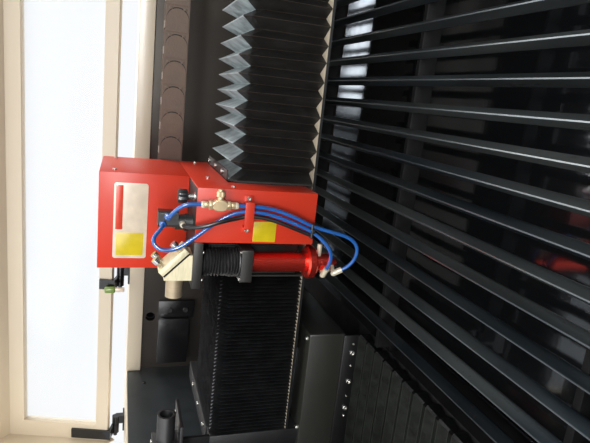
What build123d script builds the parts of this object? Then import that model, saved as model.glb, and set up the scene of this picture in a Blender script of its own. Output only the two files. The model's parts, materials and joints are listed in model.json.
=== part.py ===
"""Flatbed laser cutting machine with an enclosed bed, a moving gantry and a red cutting head.

The frame is the machine's own: X runs along the gantry, Y from the operator's side to the
rear, Z up, with the origin on the floor under the middle of the machine. Sizes are in
millimetres. The gantry stands near the rear, the head near the left end and the lid is open.
"""
import math
import os

from build123d import *

# Cabinet
cabinet_width = 2340.0
cabinet_depth = 1630.0
rim_height = 1262.0
front_rim_height = 1083.0
slope_start_y = -450.0
foot_height = 90.0
skin = 3.0
inner_width = 1950.0
front_wall = 30.0
rear_beam_depth = 60.0
rear_beam_height = 35.0
rear_top_depth = 150.0
rear_beam_front = cabinet_depth / 2 - rear_top_depth
rear_wall_recess = 12.0
spigot_length = 60.0
spigot_radius = 75.0
spigot_bore = 72.0
spigot_flange = 95.0
spigot_z = 420.0
frame_tube = 60.0
seam = 0.3

# Bed
bed_width = 1310.0
bed_depth = 382.0
bed_top = rim_height - bed_depth
slat_margin = 45.0
slat_pitch = 40.0
slat_count = int((bed_width - 2 * slat_margin) / slat_pitch) + 1
slat_height = 16.0
slat_base = 15.0
slat_tip = 1.6
slat_foot = 2.5
slat_front_gap = 115.0
slat_front = -cabinet_depth / 2 + slat_front_gap
slat_rear_gap = 65.0
slat_rear = rear_beam_front - slat_rear_gap
cross_bar_width = 10.0
cross_bar_height = 30.0
cross_bar_lug = 8.0
cross_bar_pitch = 400.0
cross_bar_count = 4
cross_bar_rear = rear_beam_front - 153.0
rail_bed_top = bed_top - 42.0
tray_depth = 96.0
tray_floor = rail_bed_top - tray_depth
tray_wall = 33.0
tray_clearance = 8.0
frame_top = tray_floor - 22.0
drawer_front_height = 46.0

# Control panel on the front
panel_left = 760.0
panel_width = 320.0
panel_drop = 233.0
panel_bottom = front_rim_height - panel_drop
panel_height = 190.0
panel_depth = 80.0
panel_slope = 40.0
stop_radius = 19.0
stop_height = 16.0
stop_collar = 24.0
stop_travel = 6.0

# Y guides
y_rail_width = 23.0
y_rail_height = 15.0
y_block_height = 21.0
y_block_length = 70.0
y_plate_thickness = 12.0
end_box_width = 240.0
end_box_height = 70.0
end_box_depth = 289.0
end_box_top = bed_top + 78.0
y_cover_top = bed_top - 16.0
y_cover_height = 22.0
y_cover_fold = 7.0
y_cover_pleats = 29
y_cover_wall = 3.0
y_strip_height = 31.0
y_strip_thickness = 5.0

# Gantry
gantry_front = 190.0
gantry_half = bed_width / 2 + end_box_width - 45.0
end_housing = 38.0
beam_width = 110.0
beam_height = 85.0
beam_front = gantry_front + 50.0
ledge_top = end_box_top + 25.0
ledge_thickness = 5.0
ledge_back = gantry_front + 210.0
x_rail_width = 12.0
x_rail_height = 10.0
x_rail_inset = 22.0
x_cover_depth = 208.0
x_cover_height = 142.0
x_cover_top = ledge_top + x_cover_height
x_cover_chamfer = 12.0
x_cover_fold = 26.0
x_cover_pleats = 44
x_cover_wall_left = 6.0
x_cover_wall_right = 3.0
flange_thickness = 3.0
flange_tab = 16.0

# Place of the head along the gantry
head_x = -465.0

# Cable chain
chain_y = gantry_front + 243.0
chain_width = 40.0
chain_height = 44.0
chain_pitch = 47.0
chain_top = ledge_top + 239.0
chain_radius = 55.0
chain_fixed_x = 55.0
chain_start_x = head_x + 25.0
chain_links_upper = 14
chain_links_bend = 4
chain_links_lower = 3

# Cutting head
carriage_half = 78.0
saddle_thickness = 12.0
saddle_bottom = ledge_top + beam_height + x_rail_height + 12.0
apron_thickness = 12.0
apron_bottom = ledge_top + 9.0
sheet = 2.0
lower_cover_left = head_x - 4.0
lower_cover_width = 83.0
lower_cover_right = lower_cover_left + lower_cover_width
lower_cover_front = gantry_front - 65.0
lower_cover_bottom = ledge_top + 14.0
cover_rear = gantry_front + 222.0
cover_side_bottom = x_cover_top + 3.0
shelf_top = saddle_bottom + 94.0
shelf_thickness = 14.0
shelf_left = head_x - carriage_half
shelf_front = lower_cover_front
upper_cover_left = shelf_left
upper_cover_front = gantry_front + 35.0
upper_cover_height = 139.0
upper_cover_top = shelf_top + upper_cover_height

# Beam path and lens column
lens_x = head_x - 43.0
lens_y = gantry_front - 35.0
beam_z = shelf_top + 23.0
beam_bore = 9.0
mirror_block_left = 24.0
mirror_block_width = 40.0
mirror_block_depth = 44.0
mirror_gap = 1.6
slab_length = 53.0
slab_thickness = 11.0
inlet_radius = 13.0
inlet_length = 33.0
stub_radius = 15.0
stub_bore = 11.0
stub_end_x = -gantry_half + 77.0
stub_length = 46.0
column_plate = 54.0
lower_plate_top = shelf_top - 75.0
lower_plate_thickness = 18.0
bellows_outer = 24.0
bellows_inner = 18.5
bellows_bore = 12.0
bellows_pleats = 8
tube_radius = 16.0
tube_bore = 11.0
tube_bottom = lower_plate_top - 113.0
ring_radius = 27.0
ring_height = 16.0
barrel_height = 25.0
barrel_radius = 15.5
nozzle_height = 15.0
nozzle_radius = 11.0
nozzle_mouth = 4.0
guide_rod_radius = 2.0

# Air tubes and the fittings that they end in
cord_radius = 3.0
cord_spacing = 7.5
cover_standoff = 8.0
fitting_radius = 5.0
strap_top = lower_plate_top + 5.0
strap_height = 14.0
strap_left = head_x + 13.0
strap_right = head_x + 71.0
strap_reach = 14.0
valve_x = head_x + 56.0
valve_bottom = shelf_top - 56.0
valve_height = 47.0
valve_width = 15.0
gland_x = head_x + 17.0
gland_y = gantry_front - 25.0
gland_radius = 12.0
gland_reach = 13.0
tie_x = head_x + 28.0
tie_z = ledge_top + 21.0
gland_top = shelf_top + 52.0
knob_x = head_x + 62.0
knob_y = gantry_front - 45.0
knob_radius = 11.0

# Things on the rear wall and in the tube compartment
mirror_two_x = -gantry_half + 20.0
junction_left = -inner_width / 2 + 25.0
junction_right = junction_left + 123.0
junction_bottom = rim_height - 151.0
junction_top = rim_height - 74.0
junction_depth = 26.0
tube_axis_y = rear_beam_front + 99.0
laser_radius = 36.0
laser_left = mirror_two_x + 70.0
laser_right = inner_width / 2 - 35.0
shelf_sheet_top = beam_z - 107.0

# Lid
lid_hinge_y = rear_beam_front + 7.0
lid_hinge_z = rim_height + 22.0
lid_hinge_offset = 16.0
lid_rear_height = 25.0
lid_rear_length = 258.0
lid_rear_slope = 52.0
lid_front_height = rim_height + 100.0
lid_open_angle = 53.7
lid_member = 46.0
lid_sill = 30.0
lid_frame_depth = 20.0
lid_sheet = 3.0
lid_window = 4.0
lid_gap = 3.0
hinge_inner_x = 715.0
hinge_reach = 90.0
hinge_reach_inner = 28.0
hinge_radius = 9.0
hinge_pin_radius = 5.0
running_gap = 0.1

# Places of the mirror's adjusting screws, along the slab and across it
upper_screw = (-18.0, -14.0)
rear_screw = (-18.0, 14.0)
lower_screw = (18.0, -14.0)

# Height, angle on the barrel, direction of the arm and its reach
upper_elbow = (tube_bottom - 30.0, 217.0, (0.85, -0.5, -0.15), 16.0)
lower_elbow = (tube_bottom - 47.0, 233.0, (0.5, -0.25, -0.8), 15.0)

half_width = cabinet_width / 2
half_depth = cabinet_depth / 2
half_inner = inner_width / 2
half_bed = bed_width / 2


def block(low, high):
    """Box between two opposite corners."""
    middle = [(a + b) / 2 for a, b in zip(low, high)]
    size = [b - a for a, b in zip(low, high)]
    return Pos(*middle) * Box(*size)


def rod_x(start, end, y, z, radius):
    """Round bar along X."""
    return Pos((start + end) / 2, y, z) * Rot(0, 90, 0) * Cylinder(radius, end - start)


def rod_y(x, start, end, z, radius):
    """Round bar along Y."""
    return Pos(x, (start + end) / 2, z) * Rot(90, 0, 0) * Cylinder(radius, end - start)


def rod_z(x, y, start, end, radius):
    """Round bar along Z."""
    return Pos(x, y, (start + end) / 2) * Cylinder(radius, end - start)


def plate_yz(points, start, end):
    """Sheet with an outline of (y, z) points, standing between two X positions."""
    outline = make_face(Polyline(*[(start, y, z) for y, z in points], close=True))
    return extrude(outline, end - start, dir=(1, 0, 0))


def plate_xz(points, start, end):
    """Sheet with an outline of (x, z) points, standing between two Y positions."""
    outline = make_face(Polyline(*[(x, start, z) for x, z in points], close=True))
    return extrude(outline, end - start, dir=(0, 1, 0))


def plate_xy(points, start, end):
    """Sheet with an outline of (x, y) points, lying between two heights."""
    outline = make_face(Polyline(*[(x, y, start) for x, y in points], close=True))
    return extrude(outline, end - start, dir=(0, 0, 1))


def other_side(shape):
    """Mirror image across the middle of the machine."""
    return mirror(shape, about=Plane.YZ)


def group(*pieces):
    """Several solids in one node."""
    return Compound(children=list(pieces))


# Cabinet sheets


def side_panel():
    """Outer side sheet with its rim folded in over the side wall, falling at the front."""
    outline = [
        (-half_depth, foot_height),
        (half_depth, foot_height),
        (half_depth, rim_height),
        (slope_start_y, rim_height),
        (-half_depth, front_rim_height),
    ]
    sheet_metal = plate_yz(outline, half_width - skin, half_width)
    rim = plate_yz(
        [
            (half_depth, rim_height),
            (slope_start_y, rim_height),
            (-half_depth, front_rim_height),
            (-half_depth, front_rim_height - skin),
            (slope_start_y, rim_height - skin),
            (half_depth, rim_height - skin),
        ],
        half_inner,
        half_width,
    )
    return sheet_metal + rim


def side_liner():
    """Black sheet on the inside of a side wall, above the rail bed."""
    front = -half_depth + front_wall
    fall = (rim_height - front_rim_height) / (half_depth + slope_start_y)
    top = rim_height - skin
    outline = [
        (front, rail_bed_top),
        (rear_beam_front + rear_wall_recess, rail_bed_top),
        (rear_beam_front + rear_wall_recess, rim_height - rear_beam_height - seam),
        (rear_beam_front - seam, rim_height - rear_beam_height - seam),
        (rear_beam_front - seam, top),
        (slope_start_y, top),
        (front, top - fall * (slope_start_y - front)),
    ]
    return plate_yz(outline, half_inner, half_inner + skin)


def front_panel():
    """Outer front sheet with the opening for the scrap drawer and its folded rim."""
    low = (-half_width + skin, -half_depth, foot_height)
    high = (half_width - skin, -half_depth + skin, front_rim_height - skin)
    face = block(low, high)
    slot_half = half_bed - tray_clearance / 2
    slot = block(
        (-slot_half, -half_depth - skin, tray_floor - tray_clearance),
        (slot_half, -half_depth + 2 * skin, tray_floor + drawer_front_height),
    )
    rim = block(
        (-half_inner, -half_depth, front_rim_height - skin),
        (half_inner, -half_depth + front_wall, front_rim_height),
    )
    return face - slot + rim


def front_liner():
    """Black sheet on the inside of the front wall, closing the bed above the drawer."""
    back = -half_depth + front_wall
    upper = block(
        (-half_inner, back - skin, rail_bed_top),
        (half_inner, back, front_rim_height - skin),
    )
    lower = block(
        (-half_bed, back - skin, tray_floor + drawer_front_height),
        (half_bed, back, rail_bed_top),
    )
    return upper + lower


def rear_panel():
    """Outer rear sheet with the welded round spigot of the extraction duct."""
    sheet_metal = block(
        (-half_width + skin, half_depth - skin, foot_height),
        (half_width - skin, half_depth, rim_height - skin),
    )
    flange = rod_y(0, half_depth, half_depth + skin, spigot_z, spigot_flange)
    duct = rod_y(0, half_depth, half_depth + spigot_length, spigot_z, spigot_radius)
    bore = rod_y(0, half_depth - 2 * skin, half_depth + spigot_length + skin, spigot_z, spigot_bore)
    return sheet_metal + flange + duct - bore


def floor_pan():
    """Sheet that closes the cabinet below, standing on the feet."""
    return block(
        (-half_width + skin, -half_depth + skin, foot_height),
        (half_width - skin, half_depth - skin, foot_height + skin),
    )


def base_frame():
    """Welded square tubes inside the cabinet, which carry the rail beds."""
    half = frame_tube / 2
    post_x = half_width - skin - half
    post_y = half_depth - skin - half
    low = foot_height + skin
    tubes = [floor_pan()]
    for x in (-post_x, post_x):
        for y in (-post_y, post_y):
            tubes.append(block((x - half, y - half, low), (x + half, y + half, frame_top)))
        for bottom in (low, frame_top - frame_tube):
            near = (x - half, -post_y + half, bottom)
            far = (x + half, post_y - half, bottom + frame_tube)
            tubes.append(block(near, far))
    for y in (-post_y, -post_y / 3, post_y / 3, post_y):
        near = (-post_x + half, y - half, frame_top - frame_tube)
        far = (post_x - half, y + half, frame_top)
        tubes.append(block(near, far))
    return group(*tubes)


def levelling_feet():
    """Six feet with a round pad and a threaded stem."""
    feet = []
    for x in (-half_width + 90, 0, half_width - 90):
        for y in (-half_depth + 90, half_depth - 90):
            pad = rod_z(x, y, 0, 18, 40)
            stem = rod_z(x, y, 18, foot_height, 10)
            feet.append(pad + stem)
    return group(*feet)


def rear_beam():
    """Cream folded sheet: the beam along the rear of the opening and the top behind it."""
    beam = block(
        (-half_inner, rear_beam_front, rim_height - rear_beam_height),
        (half_inner, rear_beam_front + rear_beam_depth, rim_height),
    )
    top = block(
        (-half_inner, rear_beam_front + rear_beam_depth, rim_height - skin),
        (half_inner, half_depth - skin, rim_height),
    )
    return beam + top


def rear_wall():
    """Glossy black wall behind the gantry, below the beam, with the hole of the beam path."""
    front = rear_beam_front + rear_wall_recess
    upper = block(
        (-half_inner, front, rail_bed_top),
        (half_inner, front + skin, rim_height - rear_beam_height),
    )
    lower = block((-half_bed, front, frame_top), (half_bed, front + skin, rail_bed_top))
    hole = rod_y(mirror_two_x, front - skin, front + 2 * skin, beam_z, stub_bore + 1)
    return upper + lower - hole


# Things on the rear wall and in the tube compartment


def junction_box():
    """Black cover on the rear wall with a gland strip on its right side."""
    back = rear_beam_front + rear_wall_recess
    box = block(
        (junction_left, back - junction_depth, junction_bottom),
        (junction_right, back, junction_top),
    )
    box = fillet(box.edges().filter_by(Axis.Y), 4)
    strip = block(
        (junction_right, back - junction_depth / 2, junction_bottom - 12),
        (junction_right + 44, back, junction_top),
    )
    return box + strip


def tube_shelf():
    """Shelf sheet that the laser tube's stands are fixed to."""
    return block(
        (-half_inner, rear_beam_front + rear_wall_recess + skin, shelf_sheet_top - skin),
        (half_inner, half_depth - skin, shelf_sheet_top),
    )


def laser_tube():
    """Sealed glass laser tube with a narrower neck at each end."""
    neck = 60.0
    body = rod_x(laser_left + neck, laser_right - neck, tube_axis_y, beam_z, laser_radius)
    ends = rod_x(laser_left, laser_right, tube_axis_y, beam_z, laser_radius * 0.6)
    return body + ends


def tube_stands():
    """Two stands with a round seat under the laser tube, on their shelf."""
    stands = [tube_shelf()]
    for x in (-450.0, 620.0):
        stand = block(
            (x - 20, tube_axis_y - 38, shelf_sheet_top),
            (x + 20, tube_axis_y + 38, beam_z - 6),
        )
        seat = rod_x(x - 30, x + 30, tube_axis_y, beam_z, laser_radius + seam)
        stands.append(stand - seat)
    return group(*stands)


def first_mirror():
    """Mirror block in the rear corner that turns the beam towards the gantry."""
    half = 26.0
    body = plate_xy(
        [
            (mirror_two_x - half, tube_axis_y - half),
            (mirror_two_x + half, tube_axis_y - half),
            (mirror_two_x + half, tube_axis_y + half),
        ],
        beam_z - half,
        beam_z + half,
    )
    post = block(
        (mirror_two_x - 2, tube_axis_y - half, shelf_sheet_top),
        (mirror_two_x + half, tube_axis_y, beam_z - half),
    )
    return body + post


# Bed


def rail_bed():
    """Box beam along one side of the bed, which carries the Y rail and the cross bars."""
    return block(
        (half_bed, -half_depth + front_wall, frame_top),
        (half_inner, rear_beam_front + rear_wall_recess, rail_bed_top),
    )


def y_rail():
    """Profiled linear rail on the rail bed, waisted as such rails are."""
    x = half_bed + end_box_width / 2
    top = rail_bed_top + y_rail_height
    half = y_rail_width / 2
    waist = half * 0.72
    outline = [
        (x - half, rail_bed_top),
        (x + half, rail_bed_top),
        (x + half, rail_bed_top + 3),
        (x + waist, rail_bed_top + 7),
        (x + half, top - 3),
        (x + half - 2, top),
        (x - half + 2, top),
        (x - half, top - 3),
        (x - waist, rail_bed_top + 7),
        (x - half, rail_bed_top + 3),
    ]
    return plate_xz(outline, -half_depth + front_wall + 20, rear_beam_front - 10)


def knife_slats():
    """Tapered knife blades along Y, side by side over the cross bars."""
    bottom = bed_top - slat_height
    blades = []
    for index in range(slat_count):
        x = (index - (slat_count - 1) / 2) * slat_pitch
        outline = [
            (x - slat_base / 2, bottom),
            (x + slat_base / 2, bottom),
            (x + slat_base / 2, bottom + slat_foot),
            (x + slat_tip / 2, bed_top),
            (x - slat_tip / 2, bed_top),
            (x - slat_base / 2, bottom + slat_foot),
        ]
        blades.append(plate_xz(outline, slat_front, slat_rear))
    return group(*blades)


def cross_bars():
    """Bars across the bed that the blades stand on, with lugs between the rail beds."""
    top = bed_top - slat_height
    bottom = top - cross_bar_height
    reach = half_bed - cross_bar_lug
    bars = []
    for index in range(cross_bar_count):
        y = cross_bar_rear - index * cross_bar_pitch
        front = y - cross_bar_width / 2
        back = y + cross_bar_width / 2
        bar = block((-reach, front, bottom), (reach, back, top))
        for side in (-1, 1):
            ends = sorted((side * (reach - 20), side * half_bed))
            bar += block((ends[0], front, bottom - 12), (ends[1], back, rail_bed_top - seam))
        bars.append(bar)
    return group(*bars)


def tray_runner():
    """Angle on the inner face of a rail bed that the scrap tray slides on."""
    low = -half_depth + front_wall
    high = rear_beam_front
    top = tray_floor - 5
    flange = block((half_bed - 20, low, top - skin), (half_bed, high, top))
    web = block((half_bed - 3, low, top - 15), (half_bed, high, top))
    return flange + web


def scrap_tray():
    """Open pan of black sheet under the blades, with the drawer's front and its handle."""
    half = half_bed - tray_clearance
    front = -half_depth + skin
    rear = rear_beam_front - 20
    bottom = tray_floor - 5 + seam
    outer = block((-half, front, bottom), (half, rear, tray_floor + tray_wall))
    inner = block(
        (-half + skin, front + skin, bottom + skin),
        (half - skin, rear - skin, tray_floor + tray_wall + 1),
    )
    face = block(
        (-half, front - 2 * skin, tray_floor),
        (half, front, tray_floor + drawer_front_height - 4),
    )
    return outer - inner + face + bow_handle(260, 36, 6, tray_floor + 20, front - 2 * skin)


def bow_handle(width, reach, bar, z, y):
    """Bent round bar with two feet, standing out from a front at y."""
    handle = rod_x(-width / 2, width / 2, y - reach + bar, z, bar)
    for x in (-width / 2 + bar, width / 2 - bar):
        handle += rod_y(x, y - reach + bar, y, z, bar)
    return handle


def control_panel():
    """Plain control box on the front, with a sloping face and the stop button's collar."""
    front = -half_depth - panel_depth
    top = panel_bottom + panel_height
    box = plate_yz(
        [
            (-half_depth, panel_bottom),
            (front, panel_bottom),
            (front, top - panel_height / 2),
            (front + panel_slope, top),
            (-half_depth, top),
        ],
        panel_left,
        panel_left + panel_width,
    )
    x = panel_left + panel_width - 2 * stop_collar
    z = panel_bottom + panel_height / 4
    collar = rod_y(x, front - 4, front, z, stop_collar)
    bore = rod_y(x, front - 5, front + 20, z, stop_radius / 2 + seam)
    return box + collar - bore


def emergency_stop():
    """Red mushroom button on its stem."""
    front = -half_depth - panel_depth - 4
    x = panel_left + panel_width - 2 * stop_collar
    z = panel_bottom + panel_height / 4
    low = front - stop_travel - seam
    head = rod_y(x, low - stop_height, low, z, stop_radius)
    head = fillet(head.edges().sort_by(Axis.Y)[0], stop_height / 3)
    return head + rod_y(x, low, front + 18 - stop_travel, z, stop_radius / 2)


# Accordion way covers


def cover_section(x, outer_y, outer_top, bottom, depth, wall, chamfer):
    """Upside-down U section of an accordion cover at one X position."""
    front = outer_y
    back = outer_y + depth
    top = outer_top
    inner_front = front + wall
    inner_back = back - wall
    inner_top = top - wall
    return [
        (x, front, bottom),
        (x, front, top - chamfer),
        (x, front + chamfer, top),
        (x, back - chamfer, top),
        (x, back, top - chamfer),
        (x, back, bottom),
        (x, inner_back, bottom),
        (x, inner_back, inner_top - chamfer),
        (x, inner_back - chamfer, inner_top),
        (x, inner_front + chamfer, inner_top),
        (x, inner_front, inner_top - chamfer),
        (x, inner_front, bottom),
    ]


def accordion(sections):
    """Closed solid between rings of points, with flat faces from ring to ring."""
    faces = []
    count = len(sections[0])
    for ring, following in zip(sections, sections[1:]):
        for i in range(count):
            j = (i + 1) % count
            corners = (ring[i], ring[j], following[j], following[i])
            faces.append(make_face(Polyline(*corners, close=True)))
    faces.append(make_face(Polyline(*sections[0], close=True)))
    faces.append(make_face(Polyline(*sections[-1], close=True)))
    return Solid(Shell(faces))


def x_cover(start, end, pleats, wall):
    """Pleated cover over the gantry beam between two flanges."""
    pleats = round(pleats)
    bottom = ledge_top + seam
    step = (end - start) / (2 * pleats)
    sections = []
    for index in range(2 * pleats + 1):
        inset = x_cover_fold if index % 2 else 0.0
        sections.append(
            cover_section(
                start + index * step,
                gantry_front + inset,
                x_cover_top - inset,
                bottom,
                x_cover_depth - 2 * inset,
                wall,
                x_cover_chamfer,
            )
        )
    return accordion(sections)


def y_cover():
    """Flat pleated cover over the Y rail, from the front wall to the gantry's end box."""
    start = -half_depth + front_wall + seam
    end = gantry_front - 8 - y_strip_thickness - seam
    step = (end - start) / (2 * y_cover_pleats)
    sections = []
    for index in range(2 * y_cover_pleats + 1):
        inset = y_cover_fold if index % 2 else 0.0
        ring = cover_section(
            0.0,
            half_bed + inset,
            y_cover_top - inset,
            y_cover_top - y_cover_height,
            end_box_width - 2 * inset,
            y_cover_wall,
            3.0,
        )
        y = start + index * step
        sections.append([(across, y, z) for _, across, z in ring])
    return accordion(sections)


# Gantry


def end_box():
    """Dark sheet cover of the gantry's end carriage."""
    box = block(
        (half_bed, gantry_front - 8, end_box_top - end_box_height),
        (half_bed + end_box_width, gantry_front - 8 + end_box_depth, end_box_top),
    )
    return fillet(box.edges().filter_by(Axis.Z), 3)


def y_strip():
    """Strip that clamps the Y cover's end to the end box."""
    top = end_box_top - end_box_height + 4
    return block(
        (half_bed + 2, gantry_front - 8 - y_strip_thickness, top - y_strip_height),
        (half_bed + end_box_width - 2, gantry_front - 8, top),
    )


def y_carriage():
    """Plate under the end box that rides on the rail blocks."""
    middle = half_bed + end_box_width / 2
    top = end_box_top - end_box_height
    return block(
        (middle - 70, gantry_front + 14, top - y_plate_thickness),
        (middle + 70, gantry_front + 264, top),
    )


def y_blocks():
    """Four recirculating blocks that straddle the Y rails."""
    middle = half_bed + end_box_width / 2
    top = end_box_top - end_box_height - y_plate_thickness
    blocks = []
    for side in (-1, 1):
        for y in (gantry_front + 60, gantry_front + 215):
            body = block(
                (side * middle - 24, y - y_block_length / 2, rail_bed_top + 4),
                (side * middle + 24, y + y_block_length / 2, top),
            )
            channel = block(
                (side * middle - y_rail_width / 2 - seam, y - y_block_length, rail_bed_top),
                (
                    side * middle + y_rail_width / 2 + seam,
                    y + y_block_length,
                    rail_bed_top + y_rail_height + seam,
                ),
            )
            blocks.append(body - channel)
    return group(*blocks)


def end_housing_shape():
    """Upright dark cover at the end of the gantry beam, with the folded tab on top."""
    box = block(
        (gantry_half, gantry_front, end_box_top),
        (gantry_half + end_housing, gantry_front + 280, x_cover_top),
    )
    tab = block(
        (gantry_half, gantry_front + 30, x_cover_top),
        (gantry_half + end_housing, gantry_front + 280, x_cover_top + flange_thickness),
    )
    return box + tab


def beam_foot():
    """Riser block between the end box and the ledge under the beam."""
    return block(
        (gantry_half - 140, beam_front, end_box_top),
        (gantry_half - 10, beam_front + beam_width, ledge_top - ledge_thickness),
    )


def gantry_ledge():
    """Cream sheet under the beam, folded up behind it into the channel of the chain."""
    half = gantry_half - seam
    low = ledge_top - ledge_thickness
    back = ledge_back + 2
    tray_top = chain_top - chain_height - 2 * chain_radius - seam
    start = chain_fixed_x - 2 * chain_pitch
    strip = block((-half, gantry_front + 2, low), (half, back, ledge_top))
    web = block((start, ledge_back, ledge_top), (half, back, tray_top - 2))
    depth = chain_y + chain_width / 2 + 6
    channel = block((start, ledge_back, tray_top - 2), (half, depth, tray_top))
    lip = block((start, depth - 2, tray_top), (half, depth, tray_top + 20))
    return strip + web + channel + lip


def gantry_beam():
    """Hollow rectangular beam that carries the X rails."""
    outer = block(
        (-gantry_half, beam_front, ledge_top),
        (gantry_half, beam_front + beam_width, ledge_top + beam_height),
    )
    wall = 8.0
    inner = block(
        (-gantry_half - 1, beam_front + wall, ledge_top + wall),
        (gantry_half + 1, beam_front + beam_width - wall, ledge_top + beam_height - wall),
    )
    return outer - inner


def x_rails():
    """Two linear rails on top of the beam."""
    low = ledge_top + beam_height
    rails = []
    for y in (beam_front + x_rail_inset, beam_front + beam_width - x_rail_inset):
        rails.append(
            block(
                (-gantry_half + 10, y - x_rail_width / 2, low),
                (gantry_half - 10, y + x_rail_width / 2, low + x_rail_height),
            )
        )
    return group(*rails)


def cover_flange(x):
    """Upside-down U plate that ends a pleated cover, open for the beam."""
    outer = plate_yz(
        [
            (gantry_front, ledge_top + 1),
            (gantry_front, x_cover_top - x_cover_chamfer),
            (gantry_front + x_cover_chamfer, x_cover_top),
            (gantry_front + x_cover_depth - x_cover_chamfer, x_cover_top),
            (gantry_front + x_cover_depth, x_cover_top - x_cover_chamfer),
            (gantry_front + x_cover_depth, ledge_top + 1),
        ],
        x,
        x + flange_thickness,
    )
    gap = block(
        (x - 1, beam_front - 8, ledge_top),
        (x + flange_thickness + 1, beam_front + beam_width + 8, saddle_bottom),
    )
    return outer - gap


def right_flange():
    """Flange of the stretched cover on the head, with a folded tab for three screws."""
    x = lower_cover_right
    plate = cover_flange(x)
    tab = block(
        (x, gantry_front + 20, x_cover_top),
        (x + flange_tab, gantry_front + x_cover_depth, x_cover_top + 2),
    )
    return plate + tab


def mirror_two():
    """Mirror block on the gantry's left end, its bracket and the tube the beam leaves by."""
    half = 21.0
    block_right = stub_end_x - stub_length
    body = block(
        (block_right - 2 * half, lens_y - half, beam_z - half),
        (block_right, lens_y + half, beam_z + half),
    )
    corner = body.edges().filter_by(Axis.Z).sort_by(Axis.X)[:2].sort_by(Axis.Y)[0]
    body = chamfer(corner, 20)
    tube = rod_x(block_right, stub_end_x, lens_y, beam_z, stub_radius)
    bore = rod_x(mirror_two_x, stub_end_x + 1, lens_y, beam_z, stub_bore)
    entry = rod_y(mirror_two_x, lens_y - stub_bore, lens_y + half + 1, beam_z, stub_bore + 1)
    return body + tube - bore - entry + mirror_bracket()


def mirror_bracket():
    """Angle that carries the second mirror from the end housing."""
    top = beam_z - 21.0
    shelf = block(
        (-gantry_half - end_housing, lens_y - 24, top - 5),
        (stub_end_x - 12, lens_y + 60, top),
    )
    upright = block(
        (-gantry_half - end_housing, gantry_front + 2, x_cover_top),
        (-gantry_half, gantry_front + 8, top - 5),
    )
    return shelf + upright


# Cable chain


def chain_link(angle, x, z):
    """One side-plated link, round at its leading end."""
    radius = chain_height / 2
    length = chain_pitch - 2.0
    side = SlotOverall(length + radius, chain_height)
    link = extrude(Plane.XZ * side, chain_width / 2, both=True)
    return Pos(x, chain_y, z) * Rot(0, angle, 0) * link


def chain_route():
    """Middle of each link and its tilt, from the head over the bend to the fixed end."""
    upper_z = chain_top - chain_height / 2
    start = chain_start_x + chain_pitch / 2
    route = [(start + i * chain_pitch, upper_z, 0.0) for i in range(chain_links_upper)]
    bend_x = start + (chain_links_upper - 0.5) * chain_pitch
    bend_z = upper_z - chain_radius
    for i in range(chain_links_bend):
        turn = (i + 0.5) * 180.0 / chain_links_bend
        x = bend_x + chain_radius * math.sin(math.radians(turn))
        z = bend_z + chain_radius * math.cos(math.radians(turn))
        route.append((x, z, turn))
    for i in range(chain_links_lower):
        x = bend_x - (i + 0.5) * chain_pitch
        route.append((x, upper_z - 2 * chain_radius, 180.0))
    return route


def x_chain():
    """Cable chain of the head, run fused from link to link."""
    chain = None
    for x, z, turn in chain_route():
        link = chain_link(turn, x, z)
        chain = link if chain is None else chain + link
    return chain


# Cutting head


def saddle():
    """Carriage plate over the beam with its front apron."""
    left = head_x - carriage_half
    front = gantry_front + 15
    plate = block(
        (left, front, saddle_bottom),
        (lower_cover_right, gantry_front + 202, saddle_bottom + saddle_thickness),
    )
    apron = block(
        (left, front, apron_bottom),
        (lower_cover_right, front + apron_thickness, saddle_bottom),
    )
    return plate + apron


def x_blocks():
    """Four recirculating blocks between the saddle and the X rails."""
    low = ledge_top + beam_height
    blocks = []
    for x in (head_x - carriage_half + 32, head_x + carriage_half - 32):
        for y in (beam_front + x_rail_inset, beam_front + beam_width - x_rail_inset):
            body = block((x - 25, y - 14, low + 3), (x + 25, y + 14, saddle_bottom))
            channel = block(
                (x - 30, y - x_rail_width / 2 - seam, low),
                (x + 30, y + x_rail_width / 2 + seam, low + x_rail_height + seam),
            )
            blocks.append(body - channel)
    return group(*blocks)


def head_column():
    """Housing of the focus drive between the saddle and the shelf."""
    return block(
        (head_x - carriage_half + 10, upper_cover_front + 10, saddle_bottom + saddle_thickness),
        (lower_cover_right - 12, upper_cover_front + 150, shelf_top - shelf_thickness),
    )


def shelf_plate():
    """Dark plate over the lens column and the lower cover."""
    right = lower_cover_right - sheet - seam
    step_x = lower_cover_left - seam
    outline = [
        (shelf_left, shelf_front),
        (step_x, shelf_front),
        (step_x, lower_cover_front + sheet + seam),
        (right, lower_cover_front + sheet + seam),
        (right, cover_rear),
        (shelf_left, cover_rear),
    ]
    plate = plate_xy(outline, shelf_top - shelf_thickness, shelf_top)
    bore = rod_z(lens_x, lens_y, shelf_top - 2 * shelf_thickness, shelf_top + 1, bellows_bore)
    tab = block(
        (chain_start_x - 10, cover_rear, shelf_top - shelf_thickness),
        (chain_start_x + chain_pitch, chain_y + chain_width / 2, chain_top - chain_height - seam),
    )
    return plate - bore + tab


def lower_cover():
    """Red folded cover in front of the carriage; its right side runs back under the upper cover."""
    left, right = lower_cover_left, lower_cover_right
    front, bottom = lower_cover_front, lower_cover_bottom
    back = gantry_front - 3
    face = block((left, front, bottom), (right, front + sheet, shelf_top))
    base = block((left, front, bottom), (right, back, bottom + sheet))
    left_side = block(
        (left, front, bottom),
        (left + sheet, back, shelf_top - shelf_thickness - seam),
    )
    right_side = plate_yz(
        [
            (front, bottom),
            (back, bottom),
            (back, cover_side_bottom),
            (cover_rear, cover_side_bottom),
            (cover_rear, shelf_top),
            (front, shelf_top),
        ],
        right - sheet,
        right,
    )
    return face + base + left_side + right_side


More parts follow.
